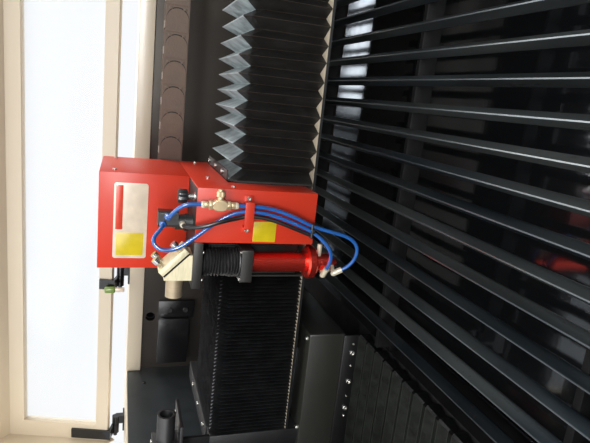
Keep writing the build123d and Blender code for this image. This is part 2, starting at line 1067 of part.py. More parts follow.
def upper_cover():
    """Tall red folded cover, open below, over the rear of the shelf."""
    low = shelf_top + seam
    outer = block(
        (upper_cover_left, upper_cover_front, low),
        (lower_cover_right, cover_rear, upper_cover_top),
    )
    inner = block(
        (upper_cover_left + sheet, upper_cover_front + sheet, low - 1),
        (lower_cover_right - sheet, cover_rear - sheet, upper_cover_top - sheet),
    )
    return outer - inner


def mirror_line(x):
    """Height of the mirror block's sloping face at one X position."""
    return beam_z - mirror_gap * math.sqrt(2) - (x - lens_x)


def mirror_block():
    """Cream block with the sloping face and the crossing bores of the beam path."""
    left = lens_x - mirror_block_left
    right = left + mirror_block_width
    low = shelf_top
    outline = [
        (left, low),
        (right, low),
        (right, mirror_line(right)),
        (left + 4, mirror_line(left + 4)),
        (left, mirror_line(left + 4)),
    ]
    half = mirror_block_depth / 2
    body = plate_xz(outline, lens_y - half, lens_y + half)
    inlet = rod_x(left - 1, lens_x + 20, lens_y, beam_z, beam_bore)
    outlet = rod_z(lens_x, lens_y, low - 1, beam_z + 20, beam_bore)
    return body - inlet - outlet


def mirror_slab():
    """Adjustable mirror plate parallel to the block's sloping face."""
    half = mirror_block_depth / 2
    middle_x = lens_x
    plate = Box(slab_length, 2 * half, slab_thickness)
    lift = slab_thickness / 2
    shift = lift / math.sqrt(2)
    return Pos(middle_x + shift, lens_y, beam_z + shift) * Rot(0, 45, 0) * plate


def mirror_springs():
    """Three short posts that hold the slab off the block."""
    posts = []
    for along, across in ((-20, -16), (-20, 16), (20, -16)):
        centre_x = lens_x + along / math.sqrt(2)
        centre_z = beam_z - along / math.sqrt(2)
        drop = mirror_gap / 2 / math.sqrt(2)
        post = Cylinder(2.5, mirror_gap)
        posts.append(Pos(centre_x - drop, lens_y + across, centre_z - drop) * Rot(0, 45, 0) * post)
    return group(*posts)


def adjusting_screw(along, across):
    """Knurled screw standing square out of the mirror slab."""
    centre_x = lens_x + along / math.sqrt(2)
    centre_z = beam_z - along / math.sqrt(2)
    stem = Pos(0, 0, slab_thickness + 5 + seam) * Cylinder(2.5, 10)
    head = Pos(0, 0, slab_thickness + 13 + seam) * Cylinder(5.5, 8)
    return Pos(centre_x, lens_y + across, centre_z) * Rot(0, 45, 0) * (stem + head)


def strap():
    """Red strip bent over the tubes, with a foot and a screw at each end."""
    front = lower_cover_front - strap_reach
    low, high = strap_top - strap_height, strap_top
    left, right = strap_left, strap_right
    foot = 9.0
    bridge = block((left + foot, front, low), (right - foot, front + sheet, high))
    piece = bridge
    for near, far in ((left + foot, left + foot + sheet), (right - foot - sheet, right - foot)):
        piece += block((near, front, low), (far, lower_cover_front, high))
    for near, far in ((left, left + foot), (right - foot, right)):
        piece += block((near, lower_cover_front - sheet, low), (far, lower_cover_front, high))
    return piece


def flow_valve():
    """Small valve between two tube stretches, with a screwed port for its knob."""
    y = lower_cover_front - cover_standoff
    half = valve_width / 2
    top = valve_bottom + valve_height
    body = block(
        (valve_x - half, lower_cover_front - 2 * cover_standoff, valve_bottom + 9),
        (valve_x + half, lower_cover_front, top - 9),
    )
    body = fillet(body.edges().filter_by(Axis.Z), 3)
    ports = rod_z(valve_x, y, valve_bottom, top, half * 0.8)
    side = rod_x(valve_x + half, valve_x + half + 4, y, valve_bottom + valve_height / 2, 4)
    return body + ports + side


def valve_knob():
    """Knob on the valve's side."""
    left = valve_x + valve_width / 2 + 4 + seam
    y = lower_cover_front - cover_standoff
    z = valve_bottom + valve_height / 2
    return rod_x(left, left + 9, y, z, 6) + rod_x(left + 9, left + 12, y, z, 4)


def clamp_knob():
    """Black turning knob on its stud, which clamps the cover to the shelf."""
    low = shelf_top + seam
    stud = rod_z(knob_x, knob_y, low, low + 15, 3)
    head = rod_z(knob_x, knob_y, low + 15, low + 26, knob_radius)
    for index in range(3):
        angle = math.radians(120 * index)
        x = knob_x + (knob_radius + 3) * math.cos(angle)
        y = knob_y + (knob_radius + 3) * math.sin(angle)
        head -= rod_z(x, y, low + 14, low + 27, 5)
    return stud + head


def tube_gland():
    """Black bulkhead on the shelf that the tubes and the cable come out of."""
    base = rod_z(gland_x, gland_y, shelf_top, shelf_top + 26, gland_radius)
    neck = rod_z(gland_x, gland_y, shelf_top + 6, shelf_top + 12, gland_radius + 2)
    head = block(
        (gland_x - 6, gland_y - gland_reach, shelf_top + 22),
        (gland_x + 18, gland_y + gland_reach, gland_top),
    )
    head = fillet(head.edges().filter_by(Axis.Z), 4)
    return base + neck + head


def cord(points):
    """Tube along straight runs with tangent arcs as large as the runs allow."""
    runs = [Vector(*b) - Vector(*a) for a, b in zip(points, points[1:])]
    radii = []
    for run, following in zip(runs, runs[1:]):
        turn = math.radians(run.get_angle(following))
        radii.append(0.45 * min(run.length, following.length) / math.tan(turn / 2))
    path = FilletPolyline(*points, radius=radii)
    section = Plane(origin=points[0], z_dir=runs[0]) * Circle(cord_radius)
    tube = sweep(section, path)
    expected = math.pi * cord_radius**2 * path.length
    print("radii", [round(r) for r in radii], "length", round(path.length))
    print("volume ratio", round(tube.volume / expected, 4))
    return tube


def strap_row(index):
    """Point under the strap of the tube with that place from the right."""
    x = valve_x - index * cord_spacing
    return (x, lower_cover_front - cover_standoff, strap_top - strap_height / 2)


def tie_point(index):
    """Point where the tie below the cover holds the tube with that place from the right."""
    x = tie_x - index * cord_spacing
    return (x, lower_cover_front - cover_standoff - 1, tie_z)


def air_tube_short():
    """Blue tube from the bulkhead's front to the valve's top."""
    y = lower_cover_front - cover_standoff
    start = gland_y - gland_reach - seam
    top = valve_bottom + valve_height + seam
    return cord(
        [
            (gland_x + 11, start, shelf_top + 38),
            (gland_x + 11, start - 15, shelf_top + 38),
            (gland_x + 24, lower_cover_front - 3, shelf_top + 34),
            (valve_x - 2, y, shelf_top + 20),
            (valve_x, y, top + 15),
            (valve_x, y, top),
        ]
    )


def air_tube_left():
    """Blue tube that loops in front of the bulkhead and ends in the upper elbow."""
    start = gland_y - gland_reach - seam
    return cord(
        [
            (gland_x - 1, start, shelf_top + 45),
            (gland_x - 1, start - 15, shelf_top + 45),
            (gland_x - 16, lower_cover_front - 3, shelf_top + 62),
            (gland_x - 30, lower_cover_front - 12, shelf_top + 53),
            (gland_x - 30, lower_cover_front - 13, shelf_top + 29),
            (head_x + 6, lower_cover_front - 12, shelf_top + 2),
            (head_x + 28, lower_cover_front - 8, shelf_top - 26),
            (head_x + 44.5, lower_cover_front - 8, shelf_top - 54),
            strap_row(1),
            (head_x + 46, lower_cover_front - 11, shelf_top - 109),
            (head_x + 34, lower_cover_front - 12, shelf_top - 146),
            tie_point(1),
            (head_x + 3, lower_cover_front - 12, shelf_top - 204),
            (head_x - 16, lower_cover_front - 7, shelf_top - 219),
            elbow_point(*upper_elbow, 14),
            elbow_point(*upper_elbow, seam),
        ]
    )


def air_tube_right():
    """Blue tube from the valve's bottom to the lower elbow."""
    return cord(
        [
            (valve_x, lower_cover_front - cover_standoff, valve_bottom - seam),
            strap_row(0),
            (head_x + 55, lower_cover_front - 11, shelf_top - 109),
            (head_x + 44, lower_cover_front - 13, shelf_top - 146),
            tie_point(0),
            (head_x + 20, lower_cover_front - 12, shelf_top - 214),
            (head_x + 14, lower_cover_front - 13, shelf_top - 240),
            (head_x + 3, lower_cover_front - 12, shelf_top - 257),
            (head_x - 13, lower_cover_front - 8, shelf_top - 264),
            (head_x - 30, lower_cover_front - 1, shelf_top - 263),
            elbow_point(*lower_elbow, 10),
            elbow_point(*lower_elbow, seam),
        ]
    )


def sensor_cable():
    """Black cable from the bulkhead's base to the tie."""
    start = gland_y - gland_radius - seam
    return cord(
        [
            (gland_x, start, shelf_top + 16),
            (gland_x, start - 15, shelf_top + 16),
            (gland_x + 2, lower_cover_front - 3, shelf_top + 9),
            (head_x + 24, lower_cover_front - 16, shelf_top - 9),
            (head_x + 33, lower_cover_front - 16, shelf_top - 36),
            (head_x + 37, lower_cover_front - 9, shelf_top - 60),
            strap_row(2),
            (head_x + 38, lower_cover_front - 9, shelf_top - 109),
            (head_x + 26, lower_cover_front - 11, shelf_top - 146),
            tie_point(2),
        ]
    )


def elbow_corner(height, start_angle):
    """Direction of an elbow's stub and the corner where its arm starts."""
    angle = math.radians(start_angle)
    radial = Vector(math.cos(angle), math.sin(angle), 0)
    return radial, Vector(lens_x, lens_y, height) + radial * (barrel_radius + 7)


def elbow(height, start_angle, direction, reach):
    """Push-in elbow on the nozzle: a stub along the radius and an arm towards its tube."""
    radial, corner = elbow_corner(height, start_angle)
    arm_line = Vector(*direction).normalized()
    stub_start = corner - radial * (barrel_radius + 1)
    stub = extrude(
        Plane(origin=stub_start, z_dir=radial) * Circle(fitting_radius - 1),
        barrel_radius + 1,
    )
    arm = extrude(Plane(origin=corner, z_dir=arm_line) * Circle(fitting_radius), reach)
    ball = Pos(corner.X, corner.Y, corner.Z) * Sphere(fitting_radius)
    return stub + ball + arm - nozzle_body()


def elbow_point(height, start_angle, direction, reach, distance):
    """Point on an elbow's arm line, the given distance outside the arm."""
    radial, corner = elbow_corner(height, start_angle)
    place = corner + Vector(*direction).normalized() * (reach + distance)
    return (place.X, place.Y, place.Z)


def tube_fittings():
    """Two cream elbows of the nozzle and the bright plug screw beside the ring."""
    low = tube_bottom - ring_height
    plug = rod_x(lens_x, lens_x + ring_radius + 6, lens_y - 5, low - 6, 4) - nozzle_body()
    return group(elbow(*upper_elbow), elbow(*lower_elbow), plug)


def beam_inlet():
    """Bright tube that the beam enters the head by."""
    right = lens_x - mirror_block_left
    outer = rod_x(right - inlet_length, right, lens_y, beam_z, inlet_radius)
    return outer - rod_x(right - inlet_length - 1, right + 1, lens_y, beam_z, beam_bore)


def lens_bellows():
    """Round black bellows between the shelf and the lower plate."""
    top = shelf_top - shelf_thickness - seam
    bottom = lower_plate_top + seam
    step = (top - bottom) / (2 * bellows_pleats)
    points = [(bellows_bore, bottom), (bellows_outer, bottom)]
    for index in range(1, 2 * bellows_pleats):
        radius = bellows_inner if index % 2 else bellows_outer
        points.append((radius, bottom + index * step))
    points += [(bellows_outer, top), (bellows_bore, top)]
    profile = make_face(Polyline(*[(r, 0, z) for r, z in points], close=True))
    return Pos(lens_x, lens_y, 0) * revolve(profile, Axis.Z)


def lower_plate():
    """Dark square plate under the round bellows."""
    half = column_plate / 2
    low = lower_plate_top - lower_plate_thickness
    plate = block(
        (lens_x - half, lens_y - half, low),
        (lens_x + half, lens_y + half, lower_plate_top),
    )
    plate = fillet(plate.edges().filter_by(Axis.Z), 3)
    bore = rod_z(lens_x, lens_y, low - 1, lower_plate_top + 1, tube_bore)
    for x in (lens_x - half + 5, lens_x + half - 5):
        bore += rod_z(x, lens_y + half - 5, low - 1, lower_plate_top + 1, guide_rod_radius + seam)
    return plate - bore


def guide_rods():
    """Two thin rods from the shelf that keep the lower plate square."""
    half = column_plate / 2
    rods = []
    for x in (lens_x - half + 5, lens_x + half - 5):
        rods.append(
            rod_z(x, lens_y + half - 5, lower_plate_top - 94, shelf_top - shelf_thickness, guide_rod_radius)
        )
    return group(*rods)


def back_plate():
    """Dark plate behind the lens column, hung from the shelf, that carries the focus rail."""
    return block(
        (lens_x - 30, gantry_front - 7, lower_cover_bottom + 3),
        (lower_cover_left - seam, gantry_front - 3, shelf_top - shelf_thickness),
    )


def lens_tube():
    """Red anodised lens tube."""
    top = lower_plate_top - lower_plate_thickness
    outer = rod_z(lens_x, lens_y, tube_bottom, top, tube_radius)
    return outer - rod_z(lens_x, lens_y, tube_bottom - 1, top + 1, tube_bore)


def clamp_ring():
    """Wide red ring between the lens tube and the nozzle barrel, with chamfered rims."""
    low = tube_bottom - ring_height
    ring = rod_z(lens_x, lens_y, low, tube_bottom, ring_radius)
    ring = chamfer(ring.edges().filter_by(GeomType.CIRCLE), 3)
    return ring - rod_z(lens_x, lens_y, low - 1, tube_bottom + 1, tube_bore)


def focus_lens():
    """Thin round lens held inside the tube's lower end."""
    return rod_z(lens_x, lens_y, tube_bottom + 4, tube_bottom + 8, tube_bore)


def nozzle_body():
    """Outer form of the nozzle: the barrel under the ring and its tapered tip."""
    top = tube_bottom - ring_height
    low = top - barrel_height
    barrel = rod_z(lens_x, lens_y, low, top, barrel_radius)
    cone = Cone(nozzle_mouth + 1.5, nozzle_radius, nozzle_height)
    return barrel + Pos(lens_x, lens_y, low - nozzle_height / 2) * cone


def nozzle():
    """Red nozzle that the beam and the gas leave by, with its stepped bore."""
    top = tube_bottom - ring_height
    low = top - barrel_height
    bore = rod_z(lens_x, lens_y, low, top + 1, nozzle_mouth * 2)
    mouth = rod_z(lens_x, lens_y, low - nozzle_height - 1, low + 1, nozzle_mouth / 2)
    return nozzle_body() - bore - mouth


# Lid, drawn closed and then turned about its hinge


def lid_turn(shape):
    """Turn a piece of the closed lid to the open rest position."""
    axis = Axis((0, lid_hinge_y, lid_hinge_z), (1, 0, 0))
    return shape.rotate(axis, -lid_open_angle)


def lid_points():
    """Roof line of the closed lid as (y, z): hinge end, knee and front edge."""
    slope = math.radians(lid_rear_slope)
    start = (lid_hinge_y - lid_hinge_offset, rim_height + lid_rear_height)
    knee = (
        start[0] - lid_rear_length * math.cos(slope),
        start[1] + lid_rear_length * math.sin(slope),
    )
    front = (-half_depth + 8, lid_front_height)
    return start, knee, front


def lid_panel(first, second, thickness, far_member):
    """Frame of folded sheet between two points of the roof line, open for its window."""
    length = math.hypot(second[0] - first[0], second[1] - first[1])
    half = half_width - 5
    angle = math.degrees(math.atan2(second[1] - first[1], second[0] - first[0]))
    frame = block((-half + lid_sheet, 0, -thickness), (half - lid_sheet, length, 0))
    hole = block(
        (-half + lid_member, lid_member, -thickness - 1),
        (half - lid_member, length - far_member, 1),
    )
    placed = frame - hole
    return Pos(0, first[0], first[1]) * Rot(angle, 0, 0) * placed


def lid_glass(first, second, thickness, far_member):
    """Clear window that fills a panel's opening."""
    length = math.hypot(second[0] - first[0], second[1] - first[1])
    half = half_width - 5
    angle = math.degrees(math.atan2(second[1] - first[1], second[0] - first[0]))
    pane = block(
        (-half + lid_member, lid_member, -thickness / 2 - lid_window / 2),
        (half - lid_member, length - far_member, -thickness / 2 + lid_window / 2),
    )
    return Pos(0, first[0], first[1]) * Rot(angle, 0, 0) * pane


def lid_gable():
    """Side sheet of the lid, which meets the cabinet's rim when closed."""
    start, knee, front = lid_points()
    half = half_width - 5
    fall = (rim_height - front_rim_height) / (half_depth + slope_start_y)
    outline = [
        start,
        knee,
        front,
        (front[0], front_rim_height + lid_gap + fall * 8),
        (slope_start_y, rim_height + lid_gap),
        (start[0], rim_height + lid_gap),
    ]
    return plate_yz(outline, half - lid_sheet, half)


def lid_front_wall():
    """Front sheet of the lid, down to the cabinet's front rim."""
    start, knee, front = lid_points()
    half = half_width - 5 - lid_sheet
    return block(
        (-half, front[0], front_rim_height + lid_gap + 6),
        (half, front[0] + lid_sheet, front[1] - lid_frame_depth - 2),
    )


def lid_handle():
    """Black bow handle on the lid's front sheet."""
    start, knee, front = lid_points()
    y = front[0]
    z = front_rim_height + 70
    grip = rod_x(-160, 160, y - 34, z, 9)
    for x in (-150, 150):
        grip += rod_y(x, y - 34, y, z, 9)
    return grip


def hinge_places():
    """X positions of the lid's hinges."""
    outer = half_width - 40
    return (-outer, -hinge_inner_x, hinge_inner_x, outer)


def fixed_hinges():
    """Black hinge stands on the rear beam and the side rims, with their pins."""
    stands = []
    for x in hinge_places():
        foot = block(
            (x - 22, lid_hinge_y - 4, rim_height),
            (x + 22, lid_hinge_y + 34, rim_height + 4),
        )
        pin = rod_x(x - 34, x + 22, lid_hinge_y, lid_hinge_z, hinge_pin_radius)
        knuckle = rod_x(x + 0.5, x + 22, lid_hinge_y, lid_hinge_z, hinge_radius)
        web = block(
            (x + 0.5, lid_hinge_y - 4, rim_height + 4),
            (x + 22, lid_hinge_y + 12, lid_hinge_z),
        )
        stands.append(foot + web + knuckle + pin)
    return group(*stands)


def lid_hinges():
    """Black hinge leaves that turn with the lid."""
    start, knee, front = lid_points()
    leaves = []
    for x in hinge_places():
        knuckle = rod_x(x - 26, x - 1, lid_hinge_y, lid_hinge_z, hinge_radius)
        crank = block((x - 26, -9, -14), (x - 1, -3, lid_frame_depth + 6))
        reach = hinge_reach_inner if abs(x) == hinge_inner_x else hinge_reach
        arm = block((x - 26, -9, lid_frame_depth), (x - 1, reach, lid_frame_depth + 6))
        arm = Pos(0, start[0], start[1]) * Rot(180 - lid_rear_slope, 0, 0) * (crank + arm)
        leaf = knuckle + arm
        leaf -= rod_x(x - 40, x, lid_hinge_y, lid_hinge_z, hinge_pin_radius + running_gap)
        leaves.append(leaf)
    return group(*leaves)


start_point, knee_point, front_point = lid_points()

parts = {
    "base_frame": base_frame(),
    "levelling_feet": levelling_feet(),
    "left_panel": other_side(side_panel()),
    "right_panel": side_panel(),
    "front_panel": front_panel(),
    "rear_panel": rear_panel(),
    "inner_liners": group(other_side(side_liner()), side_liner(), front_liner()),
    "rear_beam": rear_beam(),
    "rear_wall": rear_wall(),
    "junction_box": junction_box(),
    "laser_tube": laser_tube(),
    "tube_stands": tube_stands(),
    "first_mirror": first_mirror(),
    "rail_beds": group(
        other_side(rail_bed()), rail_bed(), other_side(tray_runner()), tray_runner()
    ),
    "y_rails": group(other_side(y_rail()), y_rail()),
    "y_covers": group(other_side(y_cover()), y_cover()),
    "knife_slats": knife_slats(),
    "cross_bars": cross_bars(),
    "control_panel": control_panel(),
    "fixed_hinges": fixed_hinges(),
    "scrap_tray": scrap_tray(),
    "emergency_stop": emergency_stop(),
    "gantry_beam": group(gantry_beam(), other_side(beam_foot()), beam_foot(), x_rails()),
    "end_boxes": group(other_side(end_box()), end_box(), other_side(y_strip()), y_strip()),
    "y_carriages": group(other_side(y_carriage()), y_carriage(), y_blocks()),
    "end_housings": group(other_side(end_housing_shape()), end_housing_shape()),
    "gantry_ledge": gantry_ledge(),
    "x_cover_left": x_cover(
        -gantry_half + seam,
        head_x - carriage_half - flange_thickness - seam,
        x_cover_pleats,
        x_cover_wall_left,
    ),
    "x_cover_right": x_cover(
        lower_cover_right + flange_thickness + seam,
        gantry_half - seam,
        x_cover_pleats,
        x_cover_wall_right,
    ),
    "mirror_two": mirror_two(),
    "x_chain": x_chain(),
    "saddle": group(saddle(), x_blocks()),
    "head_flanges": group(
        cover_flange(head_x - carriage_half - flange_thickness), right_flange()
    ),
    "head_column": group(head_column(), back_plate(), guide_rods()),
    "shelf_plate": shelf_plate(),
    "lower_cover": lower_cover(),
    "upper_cover": upper_cover(),
    "mirror_block": group(mirror_block(), mirror_springs()),
    "mirror_slab": mirror_slab(),
    "beam_inlet": beam_inlet(),
    "adjusting_screw_upper": adjusting_screw(*upper_screw),
    "adjusting_screw_rear": adjusting_screw(*rear_screw),
    "adjusting_screw_lower": adjusting_screw(*lower_screw),
    "clamp_knob": clamp_knob(),
    "tube_gland": tube_gland(),
    "flow_valve": flow_valve(),
    "valve_knob": valve_knob(),
    "tube_strap": strap(),
    "lens_bellows": lens_bellows(),
    "air_tube_short": air_tube_short(),
    "air_tube_left": air_tube_left(),
    "air_tube_right": air_tube_right(),
    "sensor_cable": sensor_cable(),
    "lower_plate": lower_plate(),
    "lens_tube": group(lens_tube(), clamp_ring(), focus_lens()),
    "nozzle": nozzle(),
    "tube_fittings": tube_fittings(),
    "lid_frame": group(
        lid_turn(lid_panel(knee_point, start_point, lid_frame_depth, lid_sill)),
        lid_turn(lid_panel(front_point, knee_point, lid_frame_depth, lid_member)),
        lid_turn(other_side(lid_gable())),
        lid_turn(lid_gable()),
        lid_turn(lid_front_wall()),
    ),
    "lid_windows": group(
        lid_turn(lid_glass(knee_point, start_point, lid_frame_depth, lid_sill)),
        lid_turn(lid_glass(front_point, knee_point, lid_frame_depth, lid_member)),
    ),
    "lid_fittings": group(lid_turn(lid_handle()), lid_turn(lid_hinges())),
}

boxes = [shape.bounding_box() for shape in parts.values()]
front = min(box.min.Y for box in boxes)
rear = max(box.max.Y for box in boxes)
middle = (front + rear) / 2
print("front", round(front, 3), "rear", round(rear, 3), "middle", round(middle, 3))

os.makedirs("parts", exist_ok=True)
for name, shape in parts.items():
    export_step(Pos(0, -middle, 0) * shape, f"parts/{name}.step")
print(len(parts), "nodes")
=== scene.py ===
"""Looks of the laser cutting machine: stage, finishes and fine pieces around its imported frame."""

import json
import math
from itertools import product

import bpy
from mathutils import Matrix, Vector

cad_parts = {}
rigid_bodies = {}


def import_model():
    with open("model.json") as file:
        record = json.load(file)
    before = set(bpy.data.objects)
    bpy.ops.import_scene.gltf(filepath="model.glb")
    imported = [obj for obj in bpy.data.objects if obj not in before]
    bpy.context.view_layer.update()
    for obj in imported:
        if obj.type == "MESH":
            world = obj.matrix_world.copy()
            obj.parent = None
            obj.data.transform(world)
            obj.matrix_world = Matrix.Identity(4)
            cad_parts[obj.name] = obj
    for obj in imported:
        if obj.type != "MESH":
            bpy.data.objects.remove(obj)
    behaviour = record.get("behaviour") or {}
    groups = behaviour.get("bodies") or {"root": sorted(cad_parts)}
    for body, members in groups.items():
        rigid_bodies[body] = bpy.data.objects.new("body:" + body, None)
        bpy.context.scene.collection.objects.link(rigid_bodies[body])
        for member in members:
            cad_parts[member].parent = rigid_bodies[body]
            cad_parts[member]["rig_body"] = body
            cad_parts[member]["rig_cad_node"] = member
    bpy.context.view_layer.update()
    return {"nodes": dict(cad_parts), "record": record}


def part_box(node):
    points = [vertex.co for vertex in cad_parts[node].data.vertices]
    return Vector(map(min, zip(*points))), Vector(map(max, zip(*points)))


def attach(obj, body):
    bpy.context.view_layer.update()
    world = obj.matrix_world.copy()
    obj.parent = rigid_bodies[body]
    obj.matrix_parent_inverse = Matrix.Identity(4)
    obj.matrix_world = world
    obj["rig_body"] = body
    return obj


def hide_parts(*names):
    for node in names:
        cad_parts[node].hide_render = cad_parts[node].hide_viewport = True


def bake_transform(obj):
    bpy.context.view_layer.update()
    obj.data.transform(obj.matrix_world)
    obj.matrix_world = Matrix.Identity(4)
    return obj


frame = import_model()

bl_info = {
    "name": "Laser Cutting Machine Looks",
    "version": (1, 0, 0),
    "blender": (4, 5, 0),
    "location": "View3D > Sidebar > Machine",
    "description": "Dresses the packed frame of a flatbed laser cutting machine",
    "category": "Object",
}

# The frame's own shift: the rear beam's front stands 665 mm behind the machine's middle
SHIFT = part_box("rear_beam")[0].y - 0.665
# Width and focal length of the photograph, in its own pixels
PHOTO_WIDTH, FOCAL_LENGTH = 590, 526.73
UP, FRONT, RIGHT = Vector((0, 0, 1)), Vector((0, -1, 0)), Vector((1, 0, 0))


def at(x, y, z):
    """Point in the frame, in metres, from the machine's own millimetres."""
    return Vector((x / 1000, y / 1000 + SHIFT, z / 1000))


# Sizes and colours that a user would change


class MachineSizes(bpy.types.PropertyGroup):
    """Sizes of the pieces that are added to the frame."""

    screw_head: bpy.props.FloatProperty(
        name="Screw head", description="Radius of the cover screws' heads",
        default=0.0045, unit="LENGTH",
    )
    small_screw: bpy.props.FloatProperty(
        name="Small screw", description="Radius of the head's small screws",
        default=0.0032, unit="LENGTH",
    )
    strap_screw: bpy.props.FloatProperty(
        name="Strap screw", description="Radius of the screws that hold the tubes' strap",
        default=0.00352, unit="LENGTH",
    )
    strip_bolt: bpy.props.FloatProperty(
        name="Strip bolt", description="Radius of the bolts on the end boxes' strips",
        default=0.004875, unit="LENGTH",
    )
    strip_screw: bpy.props.FloatProperty(
        name="Strip screw", description="Radius of the small screws between the strips' bolts",
        default=0.00208, unit="LENGTH",
    )
    junction_bolt: bpy.props.FloatProperty(
        name="Junction bolt", description="Radius of the bolts on the junction box",
        default=0.0065, unit="LENGTH",
    )
    sheet_edge: bpy.props.FloatProperty(
        name="Sheet edge", description="Rounding of the folded sheets' edges",
        default=0.0016, unit="LENGTH",
    )
    tube_width: bpy.props.FloatProperty(
        name="Air tube", description="Outer diameter of the air tubes and the cable",
        default=0.006, unit="LENGTH",
    )
    bellows_pleats: bpy.props.IntProperty(
        name="Bellows pleats", description="Pleats of the round bellows over the lens tube",
        default=13, min=4,
    )
    plate_thickness: bpy.props.FloatProperty(
        name="Plate thickness", description="Thickness of the plain colour plates",
        default=0.0006, unit="LENGTH",
    )


class MachineColours(bpy.types.PropertyGroup):
    """Colours of the machine's finishes."""

    cream: bpy.props.FloatVectorProperty(
        name="Cream", description="Powder coat of the cabinet and the lid",
        default=(0.72, 0.62, 0.47), subtype="COLOR", size=3,
    )
    red: bpy.props.FloatVectorProperty(
        name="Red", description="Powder coat of the head's covers",
        default=(0.78, 0.05, 0.02), subtype="COLOR", size=3,
    )
    black: bpy.props.FloatVectorProperty(
        name="Black", description="Glossy black sheet",
        default=(0.008, 0.008, 0.009), subtype="COLOR", size=3,
    )
    anodised: bpy.props.FloatVectorProperty(
        name="Anodised red", description="Lens tube, ring and nozzle",
        default=(0.76, 0.055, 0.035), subtype="COLOR", size=3,
    )
    blue: bpy.props.FloatVectorProperty(
        name="Tube blue", description="Air tubes",
        default=(0.02, 0.14, 0.5), subtype="COLOR", size=3,
    )
    slats: bpy.props.FloatVectorProperty(
        name="Blade steel", description="Knife slats",
        default=(0.022, 0.03, 0.036), subtype="COLOR", size=3,
    )
    chain: bpy.props.FloatVectorProperty(
        name="Chain", description="Links of the cable chain",
        default=(0.13, 0.085, 0.058), subtype="COLOR", size=3,
    )


def sizes():
    """The sizes in use."""
    return bpy.context.scene.machine_sizes


def colours():
    """The colours in use."""
    return bpy.context.scene.machine_colours


# Shader maths


class Value:
    """A socket's value; arithmetic on it adds the Math nodes."""

    def __init__(self, nodes, socket):
        self.nodes, self.socket = nodes, socket

    def math(self, operation, *others):
        """Math node on this value and others."""
        return self.nodes.add("ShaderNodeMath", {"operation": operation}, [self, *others])

    def __add__(self, other):
        return self.math("ADD", other)

    def __mul__(self, other):
        return self.math("MULTIPLY", other)

    __radd__ = __add__
    __rmul__ = __mul__

    def __sub__(self, other):
        return self.math("SUBTRACT", other)

    def __rsub__(self, other):
        return self.nodes.add("ShaderNodeMath", {"operation": "SUBTRACT"}, [other, self])

    def over(self, edge, width):
        """0 below the edge and 1 above it, with a soft step of that width."""
        settings = {"operation": "MULTIPLY", "use_clamp": True}
        return self.nodes.add("ShaderNodeMath", settings, [self - (edge - width / 2), 1 / width])


class Nodes:
    """The nodes of a material or of the world."""

    def __init__(self, tree):
        self.tree = tree

    def add(self, kind, settings=None, inputs=None, output=0):
        """Node by its type, settings and what its sockets hold; gives one output, or all for None."""
        node = self.tree.nodes.new(kind)
        for name, value in (settings or {}).items():
            setattr(node, name, value)
        pairs = inputs.items() if isinstance(inputs, dict) else enumerate(inputs or [])
        for key, value in pairs:
            self.put(node.inputs[key], value)
        values = [Value(self, socket) for socket in node.outputs]
        return values if output is None else values[output]

    def put(self, socket, value):
        """Link a value to a socket, or set a constant on it."""
        if isinstance(value, Value):
            self.tree.links.new(value.socket, socket)
        elif value is not None:
            if socket.type == "RGBA" and len(value) == 3:
                value = (*value, 1)
            socket.default_value = value


class Shader(Nodes):
    """One material and its nodes."""

    def __init__(self, name):
        self.material = bpy.data.materials.new(name)
        self.material.use_nodes = True
        super().__init__(self.material.node_tree)
        self.principled = next(n for n in self.tree.nodes if n.type == "BSDF_PRINCIPLED")

    def place(self):
        """Object coordinates."""
        return self.add("ShaderNodeTexCoord", output=3)

    def split(self, vector):
        """The three numbers of a vector."""
        return self.add("ShaderNodeSeparateXYZ", {}, [vector], output=None)

    def noise(self, scale, detail=3.0, stretch=(1, 1, 1)):
        """Cloudy noise in object space."""
        space = self.add("ShaderNodeMapping", {}, {0: self.place(), 3: stretch})
        return self.add("ShaderNodeTexNoise", {}, {0: space, 2: scale, 3: detail})

    def blend(self, factor, first, second):
        """Mix of two colours."""
        sockets = {0: factor, 6: first, 7: second}
        return self.add("ShaderNodeMix", {"data_type": "RGBA"}, sockets, output=2)

    def bump(self, height, distance):
        """Normal from a height."""
        return self.add("ShaderNodeBump", {}, {0: 1.0, 1: distance, "Height": height})

    def surface(self, base, roughness, normal=None, **constants):
        """Fill in the surface shader and hand back the material."""
        sockets = self.principled.inputs
        self.put(sockets["Base Color"], base)
        self.put(sockets["Roughness"], roughness)
        self.put(sockets["Normal"], normal)
        for name, value in constants.items():
            self.put(sockets[name.replace("_", " ")], value)
        return self.material


DUST, PALE_DUST = (0.16, 0.16, 0.17), (0.5, 0.47, 0.42)


def scaled(colour, share):
    """A colour made darker or lighter."""
    return tuple(channel * share for channel in colour)


def powder_coat(name, colour, roughness=0.34, dust=0.06, shine=0.5):
    """Baked powder paint: a fine orange peel, slow shade changes and a little dust."""
    s = Shader(name)
    clouds = s.noise(3.5)
    specks = s.noise(260, 2)
    base = s.blend(clouds.over(0.5, 0.5) * 0.5, scaled(colour, 0.93), scaled(colour, 1.04))
    base = s.blend(specks.over(0.74, 0.1) * dust, base, PALE_DUST)
    peel = s.noise(900, 2)
    return s.surface(base, clouds * 0.12 + (roughness - 0.06), s.bump(peel, 0.00012),
                     Specular_IOR_Level=shine)


def gloss_black(name, colour, roughness=0.12, smear=0.25):
    """Glossy black paint with wipe marks and fine dust."""
    s = Shader(name)
    wipe = s.noise(9, 5, (1, 3.5, 1.6))
    dust = s.noise(420, 2)
    base = s.blend(dust.over(0.73, 0.08) * 0.22, colour, DUST)
    peel = s.noise(500, 2)
    rough = wipe.over(0.5, 0.4) * smear * 0.5 + roughness
    return s.surface(base, rough, s.bump(peel, 0.00006))


